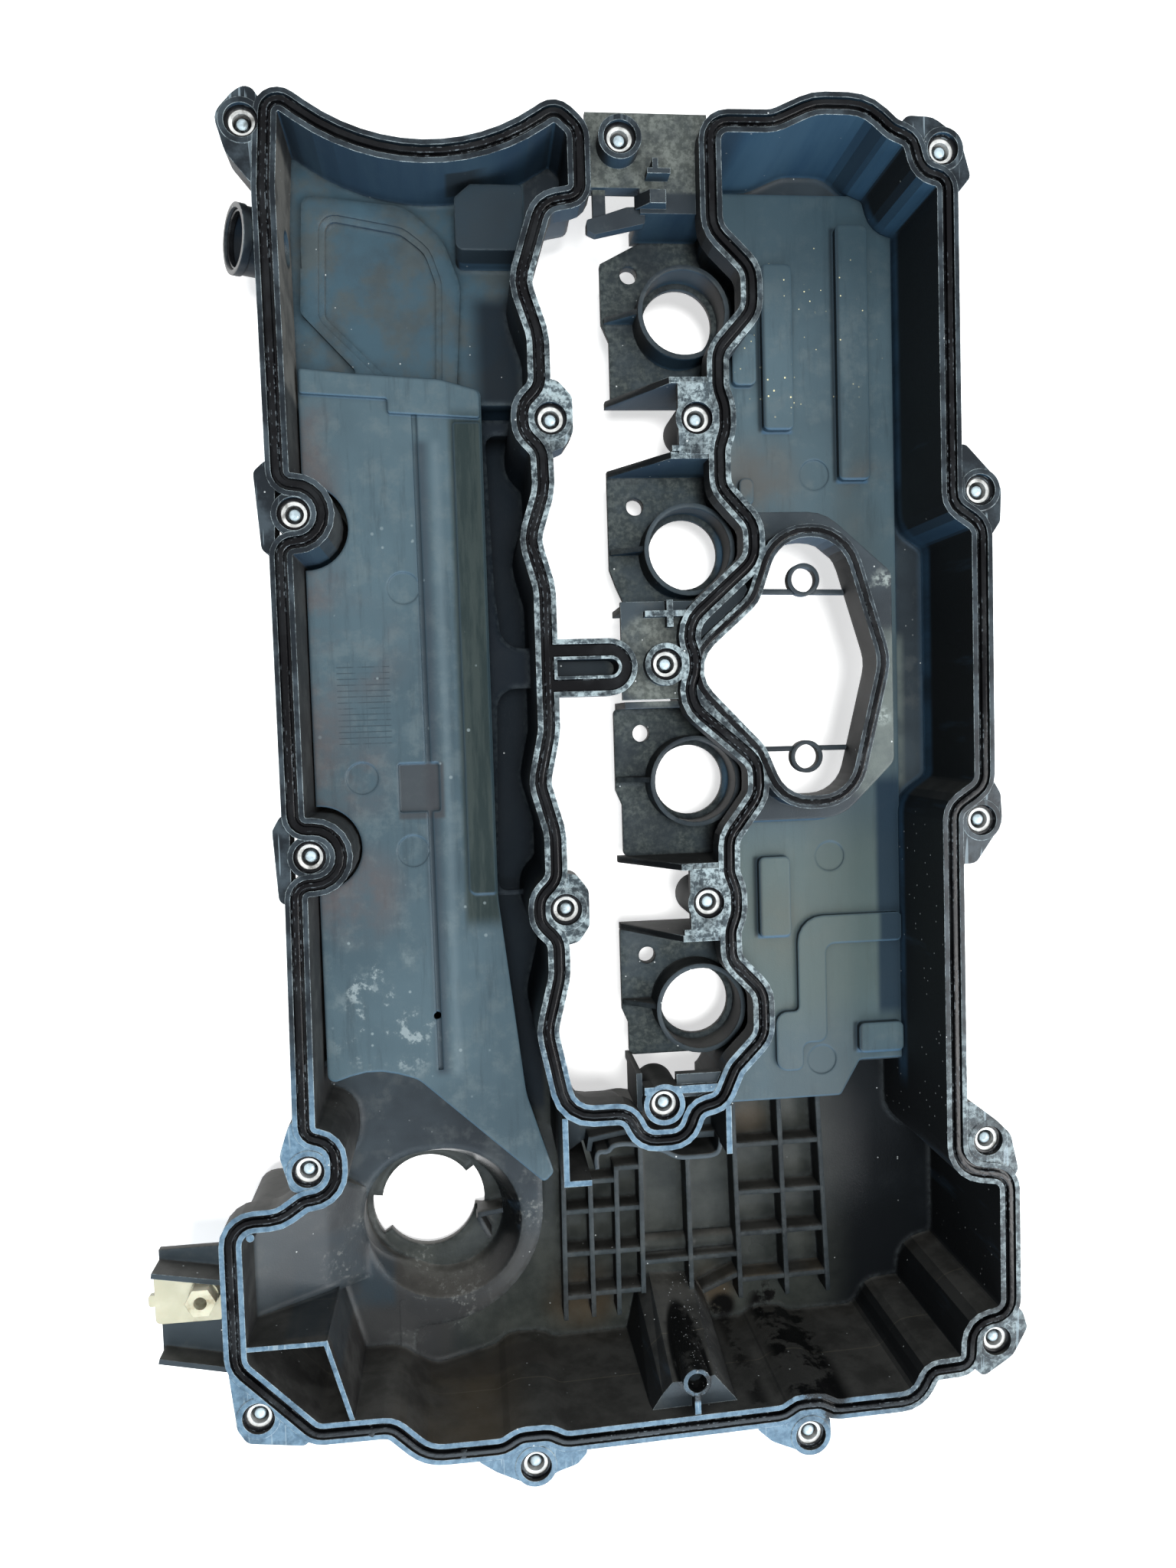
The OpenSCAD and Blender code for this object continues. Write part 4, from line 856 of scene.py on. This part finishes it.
# The paper glows for the camera and in reflections only, and doesn't light the part
def floor_paper():
    f = Finish("floor_paper")
    f.shader.inputs["Base Color"].default_value = PAPER
    f.shader.inputs["Roughness"].default_value = PAPER_ROUGHNESS
    f.shader.inputs["Emission Color"].default_value = rgb(1.0, 1.0, 1.0)
    ray = f.node("ShaderNodeLightPath").outputs
    seen = f.either(ray["Is Camera Ray"], ray["Is Glossy Ray"], ray["Is Transmission Ray"])
    f.put(f.both(seen, PAPER_GLOW), f.shader.inputs["Emission Strength"])
    return f.material


def make_floor():
    bm = bmesh.new()
    bmesh.ops.create_grid(bm, x_segments=1, y_segments=1, size=FLOOR_SIZE)
    mesh = bpy.data.meshes.new("floor")
    bm.to_mesh(mesh)
    bm.free()
    floor = bpy.data.objects.new("floor", mesh)
    floor.location.z = -FLOOR_DROP
    bpy.context.scene.collection.objects.link(floor)
    mesh.materials.append(floor_paper())


def add_lamp(name, place, aim, size, power, tint=(1, 1, 1), glossy=True):
    data = bpy.data.lights.new(name, "AREA")
    data.shape = "DISK"
    data.size = size
    data.energy = power
    data.color = tint
    lamp = bpy.data.objects.new(name, data)
    lamp.location = place
    lamp.visible_glossy = glossy
    lamp.rotation_euler = (Vector(aim) - Vector(place)).to_track_quat("-Z", "Y").to_euler()
    bpy.context.scene.collection.objects.link(lamp)


# Close to the camera's axis, so that the floor shows pale through every opening
OVERHEAD = (-0.044, 0.03, 1.3)


# Soft studio light, with places in metres of the frame
def light_scene():
    add_lamp("overhead", place=OVERHEAD, aim=(OVERHEAD[0], OVERHEAD[1], 0), size=0.30, power=22, glossy=False)
    add_lamp("window", place=(0.9, -0.35, 0.9), aim=(0, 0, 0.05), size=0.9, power=10)
    add_lamp("sky", place=(0.1, -1.1, 0.8), aim=(0, 0.05, 0.05), size=1.0, power=8, tint=(0.72, 0.87, 1.0))
    world = bpy.data.worlds.new("world")
    world.use_nodes = True
    background = world.node_tree.nodes["Background"]
    background.inputs["Color"].default_value = rgb(0.92, 0.95, 1.0)
    background.inputs["Strength"].default_value = 0.3
    bpy.context.scene.world = world
    bpy.context.scene.view_settings.view_transform = "Standard"


make_camera()
shell_finish = shell_nylon()
rubber_finish = seal_rubber()
dress_cad_nodes(shell_finish, rubber_finish)
make_wavy_wall(shell_finish)
make_bolt_points()
make_port_channel(shell_finish)
make_gasket_tabs(rubber_finish)
make_floor()
light_scene()
